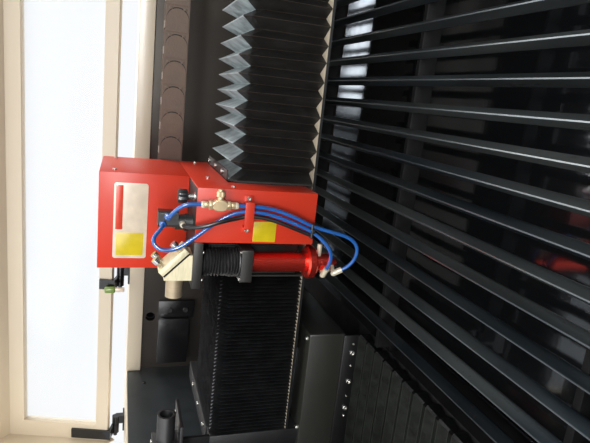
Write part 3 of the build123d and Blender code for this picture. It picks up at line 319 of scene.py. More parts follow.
def polished_sheet(name, colour, roughness=0.03, metallic=0.9):
    """Dark polished sheet that mirrors its surroundings through dust and wipe marks."""
    s = Shader(name)
    wipe = s.noise(5, 4, (1, 2.5, 1.4))
    dust = s.noise(300, 2)
    base = s.blend(dust.over(0.7, 0.1) * 0.25, colour, (0.12, 0.12, 0.12))
    return s.surface(base, wipe * 0.1 + roughness, s.bump(wipe, 0.0006), Metallic=metallic)


def blade_steel(name, colour):
    """Dark rolled steel blades with painted highlights along their tips, wipe marks painted pale that
    also stand in for painted sheen, heat marks and burnt-on residue.
    """
    s = Shader(name)
    bare_and_sheen, burnt, bright = (0.17, 0.185, 0.18), (0.05, 0.035, 0.025), (0.34, 0.37, 0.4)
    height = s.split(s.place())[2]
    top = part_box("knife_slats")[1].z
    streaks = s.noise(30, 4, (1, 0.12, 1))
    spots = s.noise(180, 3)
    base = s.blend(streaks.over(0.5, 0.3), scaled(colour, 0.7), scaled(colour, 1.7))
    # Wipe marks and painted sheen: long patches along the blades are painted towards pale bare steel
    wiped_and_sheen = s.noise(2.6, 3, (5, 0.45, 1))
    base = s.blend(wiped_and_sheen.over(0.54, 0.2) * 0.8, base, bare_and_sheen)
    base = s.blend(spots.over(0.66, 0.1) * 0.5, base, burnt)
    # Painted highlight: the blades' tips are painted bright along their top edge
    tip_highlight = height.over(top - 0.0006, 0.0006)
    base = s.blend(tip_highlight * (0.03 + streaks * 0.3), base, bright)
    rough = streaks * 0.24 + 0.2
    return s.surface(base, rough, s.bump(streaks, 0.0002), Metallic=0.8)


def machined(name, colour, roughness=0.3, stretch=(1, 1, 30), metallic=1.0):
    """Bare metal with the fine lines that machining leaves."""
    s = Shader(name)
    lines = s.noise(60, 4, stretch)
    stains = s.noise(24, 3)
    base = s.blend(lines.over(0.5, 0.5), scaled(colour, 0.85), scaled(colour, 1.08))
    base = s.blend(stains.over(0.62, 0.2) * 0.25, base, scaled(colour, 0.6))
    rough = lines * 0.14 + (roughness - 0.05)
    return s.surface(base, rough, s.bump(lines, 0.00015), Metallic=metallic)


def coated_cloth(name, colour, edge_colour, lit_top_colour, valley=0.3, corner=None, shine=0.4):
    """Coated cloth of the way covers: woven face, a top painted lighter as painted top light, worn
    edges along the folds that turn to painted highlights on the top.

    The corner is the front and the top of a closed cover, whose chamfer carries a dotted painted
    highlight.
    """
    s = Shader(name)
    fold, lit_top = s.split(s.add("ShaderNodeUVMap"))[:2]
    weave = s.noise(1400, 2)
    wrinkle = s.noise(38, 4, (1.6, 1, 1))
    base = s.blend(wrinkle.over(0.55, 0.3) * 0.5, colour, scaled(colour, 1.6))
    # Painted top light: faces that look up are painted in the lighter top colour
    lit_facing = s.blend(wrinkle.over(0.5, 0.3), scaled(lit_top_colour, 0.55), scaled(lit_top_colour, 1.15))
    base = s.blend(lit_top, base, lit_facing)
    worn = fold.over(0.972, 0.025) * (0.25 + wrinkle * 0.5)
    inner = (1 - fold).over(0.95, 0.05) * valley
    # Painted highlight: the fold crests on the faces that look up
    crest = lit_top * fold.over(0.93, 0.03) * (0.3 + wrinkle * 0.7)
    lines = worn.math("MAXIMUM", inner).math("MAXIMUM", crest)
    if corner:
        along, rise = s.split(s.place())[1:]
        (front, top), chamfer_high, chamfer_deep = corner, 0.0135, 0.017
        lines = lines * (1 - rise.over(top - chamfer_high, 0.001))
        # Painted highlight: pale dots along the chamfer of the closed cover's front top
        chamfer_highlight = lit_top * (1 - along.over(front + chamfer_deep, 0.001)) * fold.over(0.8, 0.1)
        base = s.blend(chamfer_highlight * wrinkle.over(0.42, 0.1) * 0.9, base, (0.4, 0.42, 0.45))
    # Fold lines take the worn edge colour on front faces and a painted highlight on faces that look up
    ridge_wear_and_highlight = s.blend(lit_top, edge_colour, scaled(lit_top_colour, 1.9))
    base = s.blend(lines, base, ridge_wear_and_highlight)
    height = weave * 0.25 + wrinkle * 4
    rough = wrinkle * 0.25 + 0.34
    return s.surface(base, rough, s.bump(height, 0.0005), Specular_IOR_Level=shine)


def moulded(name, colour, roughness=0.4, grain=700, depth=0.0002, coat=0.0, shine=0.5):
    """Moulded plastic or rubber with a fine spark grain and handling marks."""
    s = Shader(name)
    fine = s.noise(grain, 3)
    marks = s.noise(40, 4)
    base = s.blend(marks.over(0.5, 0.5), scaled(colour, 0.82), scaled(colour, 1.12))
    rough = marks * 0.2 + (roughness - 0.1)
    return s.surface(base, rough, s.bump(fine, depth), Coat_Weight=coat, Specular_IOR_Level=shine)


def dull_sheet(name, colour):
    """Dull dark bars, dusty with what the beam burns off."""
    s = Shader(name)
    soot = s.noise(60, 4)
    base = s.blend(soot.over(0.6, 0.3), colour, scaled(colour, 2.5))
    rough = soot * 0.2 + 0.5
    return s.surface(base, rough, s.bump(soot, 0.0004), Specular_IOR_Level=0.12)


def strip_sheet(name, colour, strip_colour, strip_top):
    """Satin paint with the darker strip that clamps the way cover under it."""
    s = Shader(name)
    rise = s.split(s.place())[2]
    dust = s.noise(420, 2)
    wipe = s.noise(9, 5, (1, 3.5, 1.6))
    base = s.blend(rise.over(strip_top, 0.0004), strip_colour, colour)
    base = s.blend(dust.over(0.73, 0.08) * 0.22, base, DUST)
    return s.surface(base, wipe * 0.2 + 0.3, s.bump(s.noise(500, 2), 0.00006))


def ledge_sheet(name, colour, edge):
    """Cream powder paint over the sheet's upper skin, dark below it."""
    s = Shader(name)
    rise = s.split(s.place())[2]
    clouds = s.noise(3.5)
    base = s.blend(clouds.over(0.5, 0.5) * 0.5, scaled(colour, 0.93), scaled(colour, 1.04))
    base = s.blend(rise.over(edge, 0.0003), (0.006, 0.006, 0.007), base)
    return s.surface(base, clouds * 0.12 + 0.3, s.bump(s.noise(900, 2), 0.00012))


def clear_sheet(name, colour, alpha, roughness):
    """Clear window or glass: pale, thin and slightly smeared."""
    s = Shader(name)
    smear = s.noise(6, 4, (1, 4, 1))
    shade = s.blend(smear, scaled(colour, 0.96), colour)
    return s.surface(shade, smear * 0.05 + roughness, s.bump(smear, 0.00002), Alpha=alpha)


def anodised(name, colour):
    """Dyed anodised aluminium with turning lines round it."""
    s = Shader(name)
    lines = s.noise(45, 3, (0.4, 0.4, 60))
    haze = s.noise(30, 3)
    base = s.blend(haze.over(0.5, 0.5), scaled(colour, 0.92), scaled(colour, 1.08))
    return s.surface(base, lines * 0.05 + 0.22, s.bump(lines, 0.00001), Metallic=0.85)


FINISHES = {}


def make_finishes():
    """All finishes by name."""
    c = colours()
    cream, black = tuple(c.cream), tuple(c.black)
    strip_top = at(0, 0, 892).z
    closed_low, closed_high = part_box("x_cover_left")
    ledge_skin = 0.0006
    FINISHES.update(
        cream=powder_coat("cream_powder_coat", cream),
        red=powder_coat("red_powder_coat", tuple(c.red), 0.36, 0.03, 0.2),
        black=gloss_black("black_gloss_sheet", black, 0.16),
        mirror_black=polished_sheet("black_polished_sheet", (0.06, 0.065, 0.07)),
        wall=polished_sheet("brown_black_sheet", (0.06, 0.052, 0.044), 0.2, 0.6),
        satin_black=gloss_black("black_satin_sheet", scaled(black, 1.3), 0.36, 0.3),
        liner=gloss_black("blue_black_sheet", (0.025, 0.031, 0.034), 0.3, 0.3),
        end_box=strip_sheet("olive_black_sheet", (0.024, 0.024, 0.019), scaled(black, 0.5),
                            strip_top),
        dull_black=dull_sheet("black_dull_bars", scaled(black, 0.3)),
        ledge=ledge_sheet("cream_ledge", cream, closed_low.z - ledge_skin),
        anodised_red=anodised("red_anodised", tuple(c.anodised)),
        anodised_black=machined("black_anodised", (0.018, 0.0165, 0.0145), 0.46, metallic=0.3),
        blades=blade_steel("blade_steel", tuple(c.slats)),
        steel=machined("dark_steel", (0.2, 0.21, 0.22), 0.42, (1, 0.1, 1)),
        bright=machined("bright_steel", (0.62, 0.62, 0.6), 0.24, (1, 1, 1)),
        aluminium=machined("milled_aluminium", (0.7, 0.65, 0.56), 0.45, (1, 0.2, 8), 0.2),
        inlet=machined("turned_inlet", (0.42, 0.33, 0.21), 0.45, (8, 0.2, 0.2), 0.25),
        pale_block=machined("clear_anodised", (0.88, 0.79, 0.52), 0.45, (1, 0.5, 6), 0.15),
        brass=machined("nickelled_brass", (0.56, 0.43, 0.25), 0.4, (1, 1, 1), 0.35),
        # The third colour of each cloth is painted top light: faces that look up are painted in it,
        # their fold crests in a painted highlight
        cloth_left=coated_cloth(
            "way_cover_cloth_closed", (0.006, 0.0068, 0.0078), (0.12, 0.125, 0.135),
            (0.013, 0.0145, 0.017), 0.05, (closed_low.y, closed_high.z),
        ),
        cloth_right=coated_cloth(
            "way_cover_cloth_open", (0.015, 0.0138, 0.0128), (0.11, 0.085, 0.062),
            (0.3, 0.345, 0.355), 0.35, None, 0.25,
        ),
        cloth_low=coated_cloth(
            "way_cover_cloth_low", (0.002, 0.0022, 0.0022), (0.003, 0.003, 0.0028),
            (0.0105, 0.012, 0.0098), 0.9, None, 0.1,
        ),
        rubber=moulded("black_rubber", (0.012, 0.012, 0.012), 0.5),
        black_plastic=moulded("black_plastic", (0.012, 0.012, 0.013), 0.34),
        chain=moulded("chain_plastic", tuple(c.chain), 0.6, 300, 0.0003, shine=0.2),
        cream_plastic=moulded("cream_plastic", (0.78, 0.7, 0.52), 0.28, 900, 0.00005, 0.3),
        red_plastic=moulded("red_plastic", (0.6, 0.012, 0.01), 0.26, 900, 0.00004, 0.4),
        green_plastic=moulded("green_plastic", (0.2, 0.32, 0.05), 0.35, 900, 0.00006),
        blue_tube=moulded("blue_tube", tuple(c.blue), 0.24, 60, 0.00004, 0.4),
        cable=moulded("cable_sheath", (0.01, 0.01, 0.011), 0.36, 200, 0.0001),
        glass=clear_sheet("tube_glass", (0.8, 0.9, 0.95), 0.35, 0.05),
        window=clear_sheet("lid_window", (0.86, 0.9, 0.93), 0.16, 0.06),
        plate_cream=moulded("plate_cream", (0.9, 0.75, 0.58), 0.32, 900, 0.00003, 0.2),
        plate_red=moulded("plate_red", (0.85, 0.06, 0.02), 0.32, 900, 0.00003, 0.2),
        plate_yellow=moulded("plate_yellow", (0.82, 0.62, 0.01), 0.32, 900, 0.00003, 0.2),
        screen=gloss_black("panel_screen", (0.02, 0.04, 0.06), 0.06),
        nickel=machined("nickel_screws", (0.55, 0.54, 0.5), 0.26, (1, 1, 1)),
        dark_screw=machined("black_oxide_screws", (0.06, 0.06, 0.06), 0.36, (1, 1, 1)),
    )


NODE_FINISH = {
    "cream": ["left_panel", "right_panel", "front_panel", "rear_panel", "rear_beam",
              "control_panel", "lid_frame"],
    "ledge": ["gantry_ledge"],
    "red": ["lower_cover", "upper_cover", "tube_strap"],
    "black": ["junction_box", "fixed_hinges", "lid_fittings"],
    "liner": ["inner_liners"],
    "end_box": ["end_boxes"],
    "mirror_black": ["scrap_tray"],
    "wall": ["rear_wall"],
    "satin_black": ["base_frame", "rail_beds", "tube_stands", "end_housings", "mirror_two"],
    "dull_black": ["cross_bars"],
    "anodised_red": ["lens_tube", "nozzle"],
    "anodised_black": ["shelf_plate", "lower_plate", "head_column", "head_flanges", "saddle"],
    "blades": ["knife_slats"],
    "steel": ["y_rails", "y_carriages", "gantry_beam"],
    "aluminium": ["first_mirror"],
    "inlet": ["beam_inlet"],
    "pale_block": ["mirror_block", "mirror_slab"],
    "brass": ["flow_valve", "valve_knob"],
    "bright": ["adjusting_screw_upper", "adjusting_screw_rear", "adjusting_screw_lower"],
    "cloth_left": ["x_cover_left"],
    "cloth_right": ["x_cover_right"],
    "cloth_low": ["y_covers"],
    "rubber": ["levelling_feet", "lens_bellows"],
    "cable": ["sensor_cable"],
    "black_plastic": ["clamp_knob", "tube_gland"],
    "chain": ["x_chain"],
    "cream_plastic": ["tube_fittings"],
    "red_plastic": ["emergency_stop"],
    "blue_tube": ["air_tube_short", "air_tube_left", "air_tube_right"],
    "glass": ["laser_tube"],
    "window": ["lid_windows"],
}

FINISH_OF = {node: finish for finish, nodes in NODE_FINISH.items() for node in nodes}
BODY_OF = {n: b for b, ns in frame["record"]["behaviour"]["bodies"].items() for n in ns}


# Modelling helpers


def clear_selection():
    """Back to object mode with nothing selected."""
    if bpy.context.object and bpy.context.object.mode != "OBJECT":
        bpy.ops.object.mode_set(mode="OBJECT")
    bpy.ops.object.select_all(action="DESELECT")


def choose(*pieces):
    """Select only these pieces, the last one active."""
    clear_selection()
    for piece in pieces:
        piece.select_set(True)
    bpy.context.view_layer.objects.active = pieces[-1]


def edit(piece):
    """Edit mode with the whole piece selected."""
    choose(piece)
    bpy.ops.object.mode_set(mode="EDIT")
    bpy.ops.mesh.select_all(action="SELECT")


def close_edit():
    """Turn all faces outwards and leave edit mode."""
    bpy.ops.mesh.select_all(action="SELECT")
    bpy.ops.mesh.normals_make_consistent(inside=False)
    bpy.ops.object.mode_set(mode="OBJECT")


def settle(piece):
    """Put a piece's place into its mesh."""
    choose(piece)
    bpy.ops.object.transform_apply(location=True, rotation=True, scale=True)
    return piece


def modify(piece, kind, **settings):
    """Add a modifier and apply it."""
    choose(piece)
    modifier = piece.modifiers.new(kind.lower(), kind)
    for name, value in settings.items():
        setattr(modifier, name, value)
    bpy.ops.object.modifier_apply(modifier=modifier.name)
    return piece


def smooth(piece, angle=35):
    """Smooth shading below an angle."""
    choose(piece)
    bpy.ops.object.shade_smooth_by_angle(angle=math.radians(angle))
    return piece


def paint(piece, finish):
    """Give a piece one finish."""
    piece.data.materials.clear()
    piece.data.materials.append(FINISHES[finish])
    return piece


def place_on(piece, body, finish):
    """Finish a piece and let it ride on its body."""
    paint(piece, finish)
    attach(piece, body)
    return piece


def stand_for(piece, node):
    """Let a piece take a node's place, body, finish and material slot."""
    place_on(piece, BODY_OF[node], FINISH_OF[node])
    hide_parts(node)
    return piece


def stretch_for(piece, node, start, end):
    """Let a piece take a node's place and finish, and work out its shares between a start and an end;
    nothing keeps them.
    """
    paint(piece, FINISH_OF[node])
    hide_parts(node)
    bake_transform(piece)
    share_evenly(piece, start, end)


def share_evenly(piece, start, end, most=1):
    """Work out a piece's shares from a start to an end, up to the most; they are not kept."""
    run = end - start
    shares = [
        min(most, max(0, (v.co - start).dot(run) / run.length_squared))
        for v in piece.data.vertices
    ]


def join(name, pieces):
    """Join pieces into one."""
    choose(*pieces)
    if len(pieces) > 1:
        bpy.ops.object.join()
    piece = bpy.context.object
    piece.name = piece.data.name = name
    return piece


def copy_of(piece, matrix):
    """Copy with its own mesh, moved by a matrix."""
    other = piece.copy()
    other.data = piece.data.copy()
    bpy.context.scene.collection.objects.link(other)
    other.data.transform(matrix)
    return other


def drop(piece):
    """Remove a pattern piece."""
    bpy.data.objects.remove(piece)


def turn_to(direction):
    """Rotation that takes +Z to a direction."""
    return Vector(direction).to_track_quat("Z", "Y").to_matrix().to_4x4()


def turned(name, profile, foot, direction=UP, sides=32, bevel=0.0, smooth_angle=35):
    """Turned piece: rings of (radius, height) from the foot along a direction, closed at the ends."""
    clear_selection()
    radius, height = profile[0]
    bpy.ops.mesh.primitive_circle_add(vertices=sides, radius=radius, fill_type="NGON")
    piece = bpy.context.object
    piece.name = piece.data.name = name
    edit(piece)
    bpy.ops.transform.translate(value=(0, 0, height))
    for wide, high in profile[1:]:
        bpy.ops.mesh.extrude_region_move(TRANSFORM_OT_translate={"value": (0, 0, high - height)})
        if abs(wide - radius) > 1e-9:
            share = wide / radius
            bpy.ops.transform.resize(value=(share, share, 1), center_override=(0, 0, high))
        radius, height = wide, high
    close_edit()
    if bevel:
        modify(piece, "BEVEL", width=bevel, segments=2, limit_method="ANGLE",
               angle_limit=math.radians(35))
    smooth(piece, smooth_angle)
    piece.data.transform(Matrix.Translation(Vector(foot)) @ turn_to(direction))
    return piece


def slab_piece(name, low, high, bevel=0.0005, segments=2):
    """Box between two corners with rounded edges."""
    clear_selection()
    low, high = Vector(low), Vector(high)
    bpy.ops.mesh.primitive_cube_add(size=1, location=(low + high) / 2)
    piece = bpy.context.object
    piece.name = piece.data.name = name
    piece.scale = high - low
    settle(piece)
    modify(piece, "BEVEL", width=bevel, segments=segments, limit_method="ANGLE")
    return smooth(piece)


def rounded_plate(name, low, high, corner):
    """Thin plate in the XZ plane with rounded corners and a fine edge."""
    clear_selection()
    middle = (low + high) / 2
    bpy.ops.mesh.primitive_plane_add(size=1, location=(middle.x, high.y, middle.z),
                                     rotation=(math.pi / 2, 0, 0))
    piece = bpy.context.object
    piece.name = piece.data.name = name
    piece.scale = (high.x - low.x, high.z - low.z, 1)
    edit(settle(piece))
    bpy.ops.mesh.bevel(offset=corner, segments=5, affect="VERTICES")
    bpy.ops.mesh.select_all(action="SELECT")
    bpy.ops.mesh.extrude_region_move(TRANSFORM_OT_translate={"value": (0, low.y - high.y, 0)})
    close_edit()
    modify(piece, "BEVEL", width=0.00018, segments=2, limit_method="ANGLE")
    return smooth(piece)


def merged_copy(node, suffix, flat):
    """Copy of a CAD node's mesh, its doubles merged and its faces joined below an angle."""
    source = frame["nodes"][node]
    piece = source.copy()
    piece.data = source.data.copy()
    piece.name = piece.data.name = f"{node}_{suffix}"
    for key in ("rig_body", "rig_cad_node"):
        if key in piece:
            del piece[key]
    piece.parent = None
    bpy.context.scene.collection.objects.link(piece)
    edit(piece)
    bpy.ops.mesh.remove_doubles(threshold=0.00001)
    bpy.ops.mesh.dissolve_limited(angle_limit=math.radians(flat))
    bpy.ops.object.mode_set(mode="OBJECT")
    bpy.ops.mesh.customdata_custom_splitnormals_clear()
    return piece


def rounded_copy(node, width):
    """Copy of a CAD node's mesh with rounded edges, shown in its place."""
    piece = merged_copy(node, "sheet", 1)
    modify(piece, "BEVEL", width=width, segments=2, limit_method="ANGLE",
           angle_limit=math.radians(40), harden_normals=False)
    return stand_for(smooth(piece, 40), node)


# Stage


class SetStage(bpy.types.Operator):
    """Floor, backdrop, soft lamps and the camera at the photograph's viewing angle"""

    bl_idname = "machine.set_stage"
    bl_label = "Stage"

    def execute(self, context):
        scene = context.scene
        scene.view_settings.view_transform = "Standard"
        self.world(scene)
        self.floor()
        self.lamps()
        self.camera(scene)
        return {"FINISHED"}

    def world(self, scene):
        """Even studio light; the camera, gloss and glass see it pale."""
        world = bpy.data.worlds.new("studio")
        world.use_nodes = True
        nodes = Nodes(world.node_tree)
        background = next(n for n in nodes.tree.nodes if n.type == "BACKGROUND")
        nodes.put(background.inputs[0], (0.95, 0.97, 1))
        path = {value.socket.name: value for value in nodes.add("ShaderNodeLightPath", output=None)}
        seen = path["Is Camera Ray"] + path["Is Glossy Ray"] + path["Is Transmission Ray"]
        light, pale = 0.55, 1.0
        nodes.put(background.inputs[1], seen.math("MINIMUM", 1) * (pale - light) + light)
        scene.world = world

    def floor(self):
        """Plain pale floor."""
        clear_selection()
        bpy.ops.mesh.primitive_grid_add(x_subdivisions=4, y_subdivisions=4, size=30)
        floor = bpy.context.object
        floor.name = "floor"
        s = Shader("pale_floor")
        clouds = s.noise(0.8)
        base = s.blend(clouds, (0.74, 0.74, 0.73), (0.8, 0.8, 0.79))
        floor.data.materials.append(s.surface(base, clouds * 0.1 + 0.5))

    def lamps(self):
        """Soft boxes around the machine, and a strip that only shows in glossy sheets."""
        for name, place, aim, size, power in (
            ("rear_softbox", (0.3, 2.6, 3.4), (0, 0.2, 1.1), (2.4, 2.4), 110),
            ("top_softbox", (-0.6, -0.9, 3.6), (-0.2, 0.1, 1.0), (2.6, 2.6), 74),
            ("front_softbox", (-1.2, -3.4, 2.2), (-0.2, 0.1, 1.0), (2.0, 2.0), 56),
            ("side_softbox", (2.8, 1.3, 2.3), (-0.4, 0.1, 1.1), (1.4, 1.4), 80),
            ("strip_lamp", (0.45, -1.5, 1.74), (0.2, 0.6, 0.8), (1.4, 0.2), 100),
        ):
            light = bpy.data.lights.new(name, "AREA")
            light.shape = "RECTANGLE"
            light.size, light.size_y = size
            light.energy = power
            lamp = bpy.data.objects.new(name, light)
            bpy.context.scene.collection.objects.link(lamp)
            lamp.location = place
            lamp.visible_diffuse = name != "strip_lamp"
            lamp.rotation_euler = (Vector(aim) - Vector(place)).to_track_quat("-Z", "Y").to_euler()

    def camera(self, scene):
        """Camera over the bed, held on its side as for the photograph."""
        yaw, pitch, roll = (math.radians(a) for a in (-13.467, -18.447, 1.832))
        ahead = Vector(
            (math.sin(yaw) * math.cos(pitch), math.cos(yaw) * math.cos(pitch), math.sin(pitch))
        )
        level = Vector((math.cos(yaw), -math.sin(yaw), 0))
        upright = level.cross(ahead)
        right = level * math.cos(roll) + upright * math.sin(roll)
        up = upright * math.cos(roll) - level * math.sin(roll)
        data = bpy.data.cameras.new("camera")
        data.sensor_width = 36
        data.lens = FOCAL_LENGTH / PHOTO_WIDTH * data.sensor_width
        data.clip_start = 0.02
        camera = bpy.data.objects.new("camera", data)
        scene.collection.objects.link(camera)
        turn = Matrix((-up, right, -ahead)).transposed().to_4x4()
        camera.matrix_world = Matrix.Translation(at(-250, -635, 1291)) @ turn
        scene.camera = camera


class PaintNodes(bpy.types.Operator):
    """Finishes on every node of the frame"""

    bl_idname = "machine.paint_nodes"
    bl_label = "Finishes"

    def execute(self, context):
        make_finishes()
        for finish, nodes in NODE_FINISH.items():
            for node in nodes:
                paint(frame["nodes"][node], finish)
        return {"FINISHED"}


class RoundSheets(bpy.types.Operator):
    """Folded sheets and blocks with rounded edges"""

    bl_idname = "machine.round_sheets"
    bl_label = "Folded sheets"

    def execute(self, context):
        edge = sizes().sheet_edge
        for node, share in (
            ("left_panel", 2), ("right_panel", 2), ("front_panel", 2), ("rear_beam", 1.5),
            ("end_boxes", 0.8), ("end_housings", 0.7), ("junction_box", 0.8),
            ("lower_cover", 0.5), ("upper_cover", 0.5), ("shelf_plate", 0.5),
            ("lower_plate", 0.4), ("mirror_slab", 0.5), ("mirror_two", 0.4),
            ("control_panel", 1.5), ("tube_strap", 0.3), ("head_column", 0.5),
            ("saddle", 0.5), ("cross_bars", 0.8), ("gantry_beam", 0.6), ("first_mirror", 0.5),
        ):
            rounded_copy(node, edge * share)
        return {"FINISHED"}


# Cords

CORDS = {
    "air_tube_short": (
        (-437, 151.7, 1222), (-437, 136.7, 1222), (-424, 122, 1218), (-411, 117, 1204),
        (-409, 117, 1190.3), (-409, 117, 1175.3),
    ),
    "air_tube_left": (
        (-449, 151.7, 1229), (-449, 136.7, 1229), (-464, 122, 1246), (-478, 113, 1237),
        (-478, 112, 1213), (-459, 113, 1186), (-437, 117, 1158), (-420.5, 117, 1130),
        (-416.5, 117, 1107), (-419, 114, 1075), (-431, 113, 1038), (-444.5, 116, 1004),
        (-462, 113, 980), (-481, 118, 965), (-500.405, 126.42, 961.49),
        (-512.08, 133.289, 963.549),
    ),
    "air_tube_right": (
        (-409, 117, 1127.7), (-409, 117, 1107), (-410, 114, 1075), (-421, 112, 1038),
        (-437, 116, 1004), (-445, 113, 970), (-451, 112, 944), (-462, 113, 927),
        (-478, 117, 920), (-495, 124, 921), (-508.733, 130.627, 928.507),
        (-513.702, 133.111, 936.458),
    ),
    "sensor_cable": (
        (-448, 152.7, 1200), (-448, 137.7, 1200), (-446, 122, 1193), (-441, 109, 1175),
        (-432, 109, 1148), (-428, 116, 1124), (-424, 117, 1107), (-427, 116, 1075),
        (-439, 114, 1038), (-452, 116, 1004),
    ),
}
# The lower part of these runs down the lens column, from the tie to this height; these cords are put
# on no body
FOLLOWS_COLUMN = {"air_tube_left": 966, "air_tube_right": 938}
TIE_HEIGHT = 1004


def cord_curve(name, points):
    """Smooth curve with a cord's points as its control points."""
    data = bpy.data.curves.new(name, "CURVE")
    data.dimensions = "3D"
    spline = data.splines.new("NURBS")
    spline.points.add(len(points) - 1)
    for control, place in zip(spline.points, points):
        control.co = (*at(*place), 1)
    spline.order_u = 3
    spline.use_endpoint_u = True
    data.resolution_u = 10
    piece = bpy.data.objects.new(name, data)
    bpy.context.scene.collection.objects.link(piece)
    return piece


def centreline(piece):
    """Points along a curve, and its length."""
    mesh = bpy.data.meshes.new_from_object(piece)
    path = [vertex.co.copy() for vertex in mesh.vertices]
    bpy.data.meshes.remove(mesh)
    return path, sum((b - a).length for a, b in zip(path, path[1:]))


class LayCords(bpy.types.Operator):
    """Air tubes and the sensor cable along their routes"""

    bl_idname = "machine.lay_cords"
    bl_label = "Air tubes and cable"

    def execute(self, context):
        width = sizes().tube_width
        for node, points in CORDS.items():
            piece = cord_curve(f"{node}_line", points)
            path, length = centreline(piece)
            piece.data.bevel_depth = width / 2
            piece.data.bevel_resolution = 5
            piece.data.use_fill_caps = True
            choose(piece)
            bpy.ops.object.convert(target="MESH")
            piece = smooth(bpy.context.object, 50)
            paint(piece, FINISH_OF[node])
            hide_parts(node)
            if node in FOLLOWS_COLUMN:
                start, end = at(-450, 116, TIE_HEIGHT), at(-450, 116, FOLLOWS_COLUMN[node])
                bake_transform(piece)
            else:
                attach(piece, "head")
        return {"FINISHED"}


# Pleats


def pleated_copy(node, axis, step):
    """Copy of a pleated cover; its UV map says where the folds stand out and which faces look up and
    so get painted top light.
    """
    piece = merged_copy(node, "pleats", 0.5)
    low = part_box(node)[0]
    mesh = piece.data
    for layer in list(mesh.uv_layers):
        mesh.uv_layers.remove(layer)
    layer = mesh.uv_layers.new(name="folds")
    for face in mesh.polygons:
        lit_top = 1.0 if face.normal.z > max(0.05, 2 * abs(face.normal.y)) else 0.0
        for loop in face.loop_indices:
            corner = mesh.vertices[mesh.loops[loop].vertex_index].co
            outer = 1.0 - round((corner[axis] - low[axis]) / step) % 2
            layer.data[loop].uv = (outer, lit_top)
    return smooth(piece, 15)


def drift_folds(mesh, low, high, step):
    """Let the folds of a stretched cover stand a little unevenly, as cloth does."""
    sideways, sag = 0.11 * step, 0.09 * step
    last = round((high.x - low.x) / step)
    for vertex in mesh.vertices:
        fold = round((vertex.co.x - low.x) / step)
        if 0 < fold < last:
            raised = vertex.co.z > (low.z + high.z) / 2
            vertex.co.x += sideways * math.sin((12.9 if raised else 7.7) * fold)
            vertex.co.z -= sag * (1 + math.sin(5.3 * fold)) * raised


class FoldCovers(bpy.types.Operator):
    """Pleated way covers of both axes"""

    bl_idname = "machine.fold_covers"
    bl_label = "Way covers"

    def execute(self, context):
        for node, axis, pleats, bodies, low_first in (
            ("x_cover_left", 0, 44, ("gantry", "head"), True),
            ("x_cover_right", 0, 44, ("gantry", "head"), False),
            ("y_covers", 1, 29, ("cabinet", "gantry"), True),
        ):
            low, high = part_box(node)
            step = (high[axis] - low[axis]) / (2 * pleats)
            piece = pleated_copy(node, axis, step)
            start, end = (low + high) / 2, (low + high) / 2
            start.z = end.z = low.z
            near, far = (low, high) if low_first else (high, low)
            start[axis], end[axis] = near[axis], far[axis]
            stretch_for(piece, node, start, end)
            if "head" in bodies:
                drift_folds(piece.data, low, high, step)
        return {"FINISHED"}


class FoldBellows(bpy.types.Operator):
    """Round wrinkled bellows over the lens tube"""

    bl_idname = "machine.fold_bellows"
    bl_label = "Round bellows"

    def execute(self, context):
        low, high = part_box("lens_bellows")
        centre = (low + high) / 2
        radius, tall = (high.x - low.x) / 2, high.z - low.z
        bore, crest, valley, rim = radius * 0.55, radius * 0.99, radius * 0.83, 0.0016
        folds = 2 * sizes().bellows_pleats
        rings = [(bore, 0), (radius, 0), (radius, rim)]
        for index in range(1, folds):
            rings.append((valley if index % 2 else crest, tall * index / folds))
        rings += [(radius, tall - rim), (radius, tall), (bore, tall)]
        piece = turned("lens_bellows_folds", rings, (centre.x, centre.y, low.z), sides=56,
                       smooth_angle=80)
        for vertex in piece.data.vertices:
            arm = vertex.co - Vector((centre.x, centre.y, vertex.co.z))
            share = (vertex.co.z - low.z) / tall
            if 0.04 < share < 0.96:
                turn = math.atan2(arm.y, arm.x)
                wave = math.sin(3 * turn + 17 * share) + 0.6 * math.sin(7 * turn - 41 * share)
                vertex.co += arm * (0.022 * wave - 0.022)
                vertex.co.z += 0.0009 * math.sin(2 * turn + 9 * share)
        start = Vector((centre.x, centre.y, high.z))
        end = Vector((centre.x, centre.y, low.z))
        stretch_for(piece, "lens_bellows", start, end)
        return {"FINISHED"}


# Cable chain

LINK_PITCH, LINK_HEIGHT, LINK_WIDTH, BEND_RADIUS = 0.047, 0.044, 0.04, 0.055
UPPER_LINKS, BEND_LINKS, LOWER_LINKS = 14, 4, 3
# A link's raised face: its height as a share of the link's, and what lies under it
FACE_SHARE, FACE_FOOT = 0.93, 0.0021


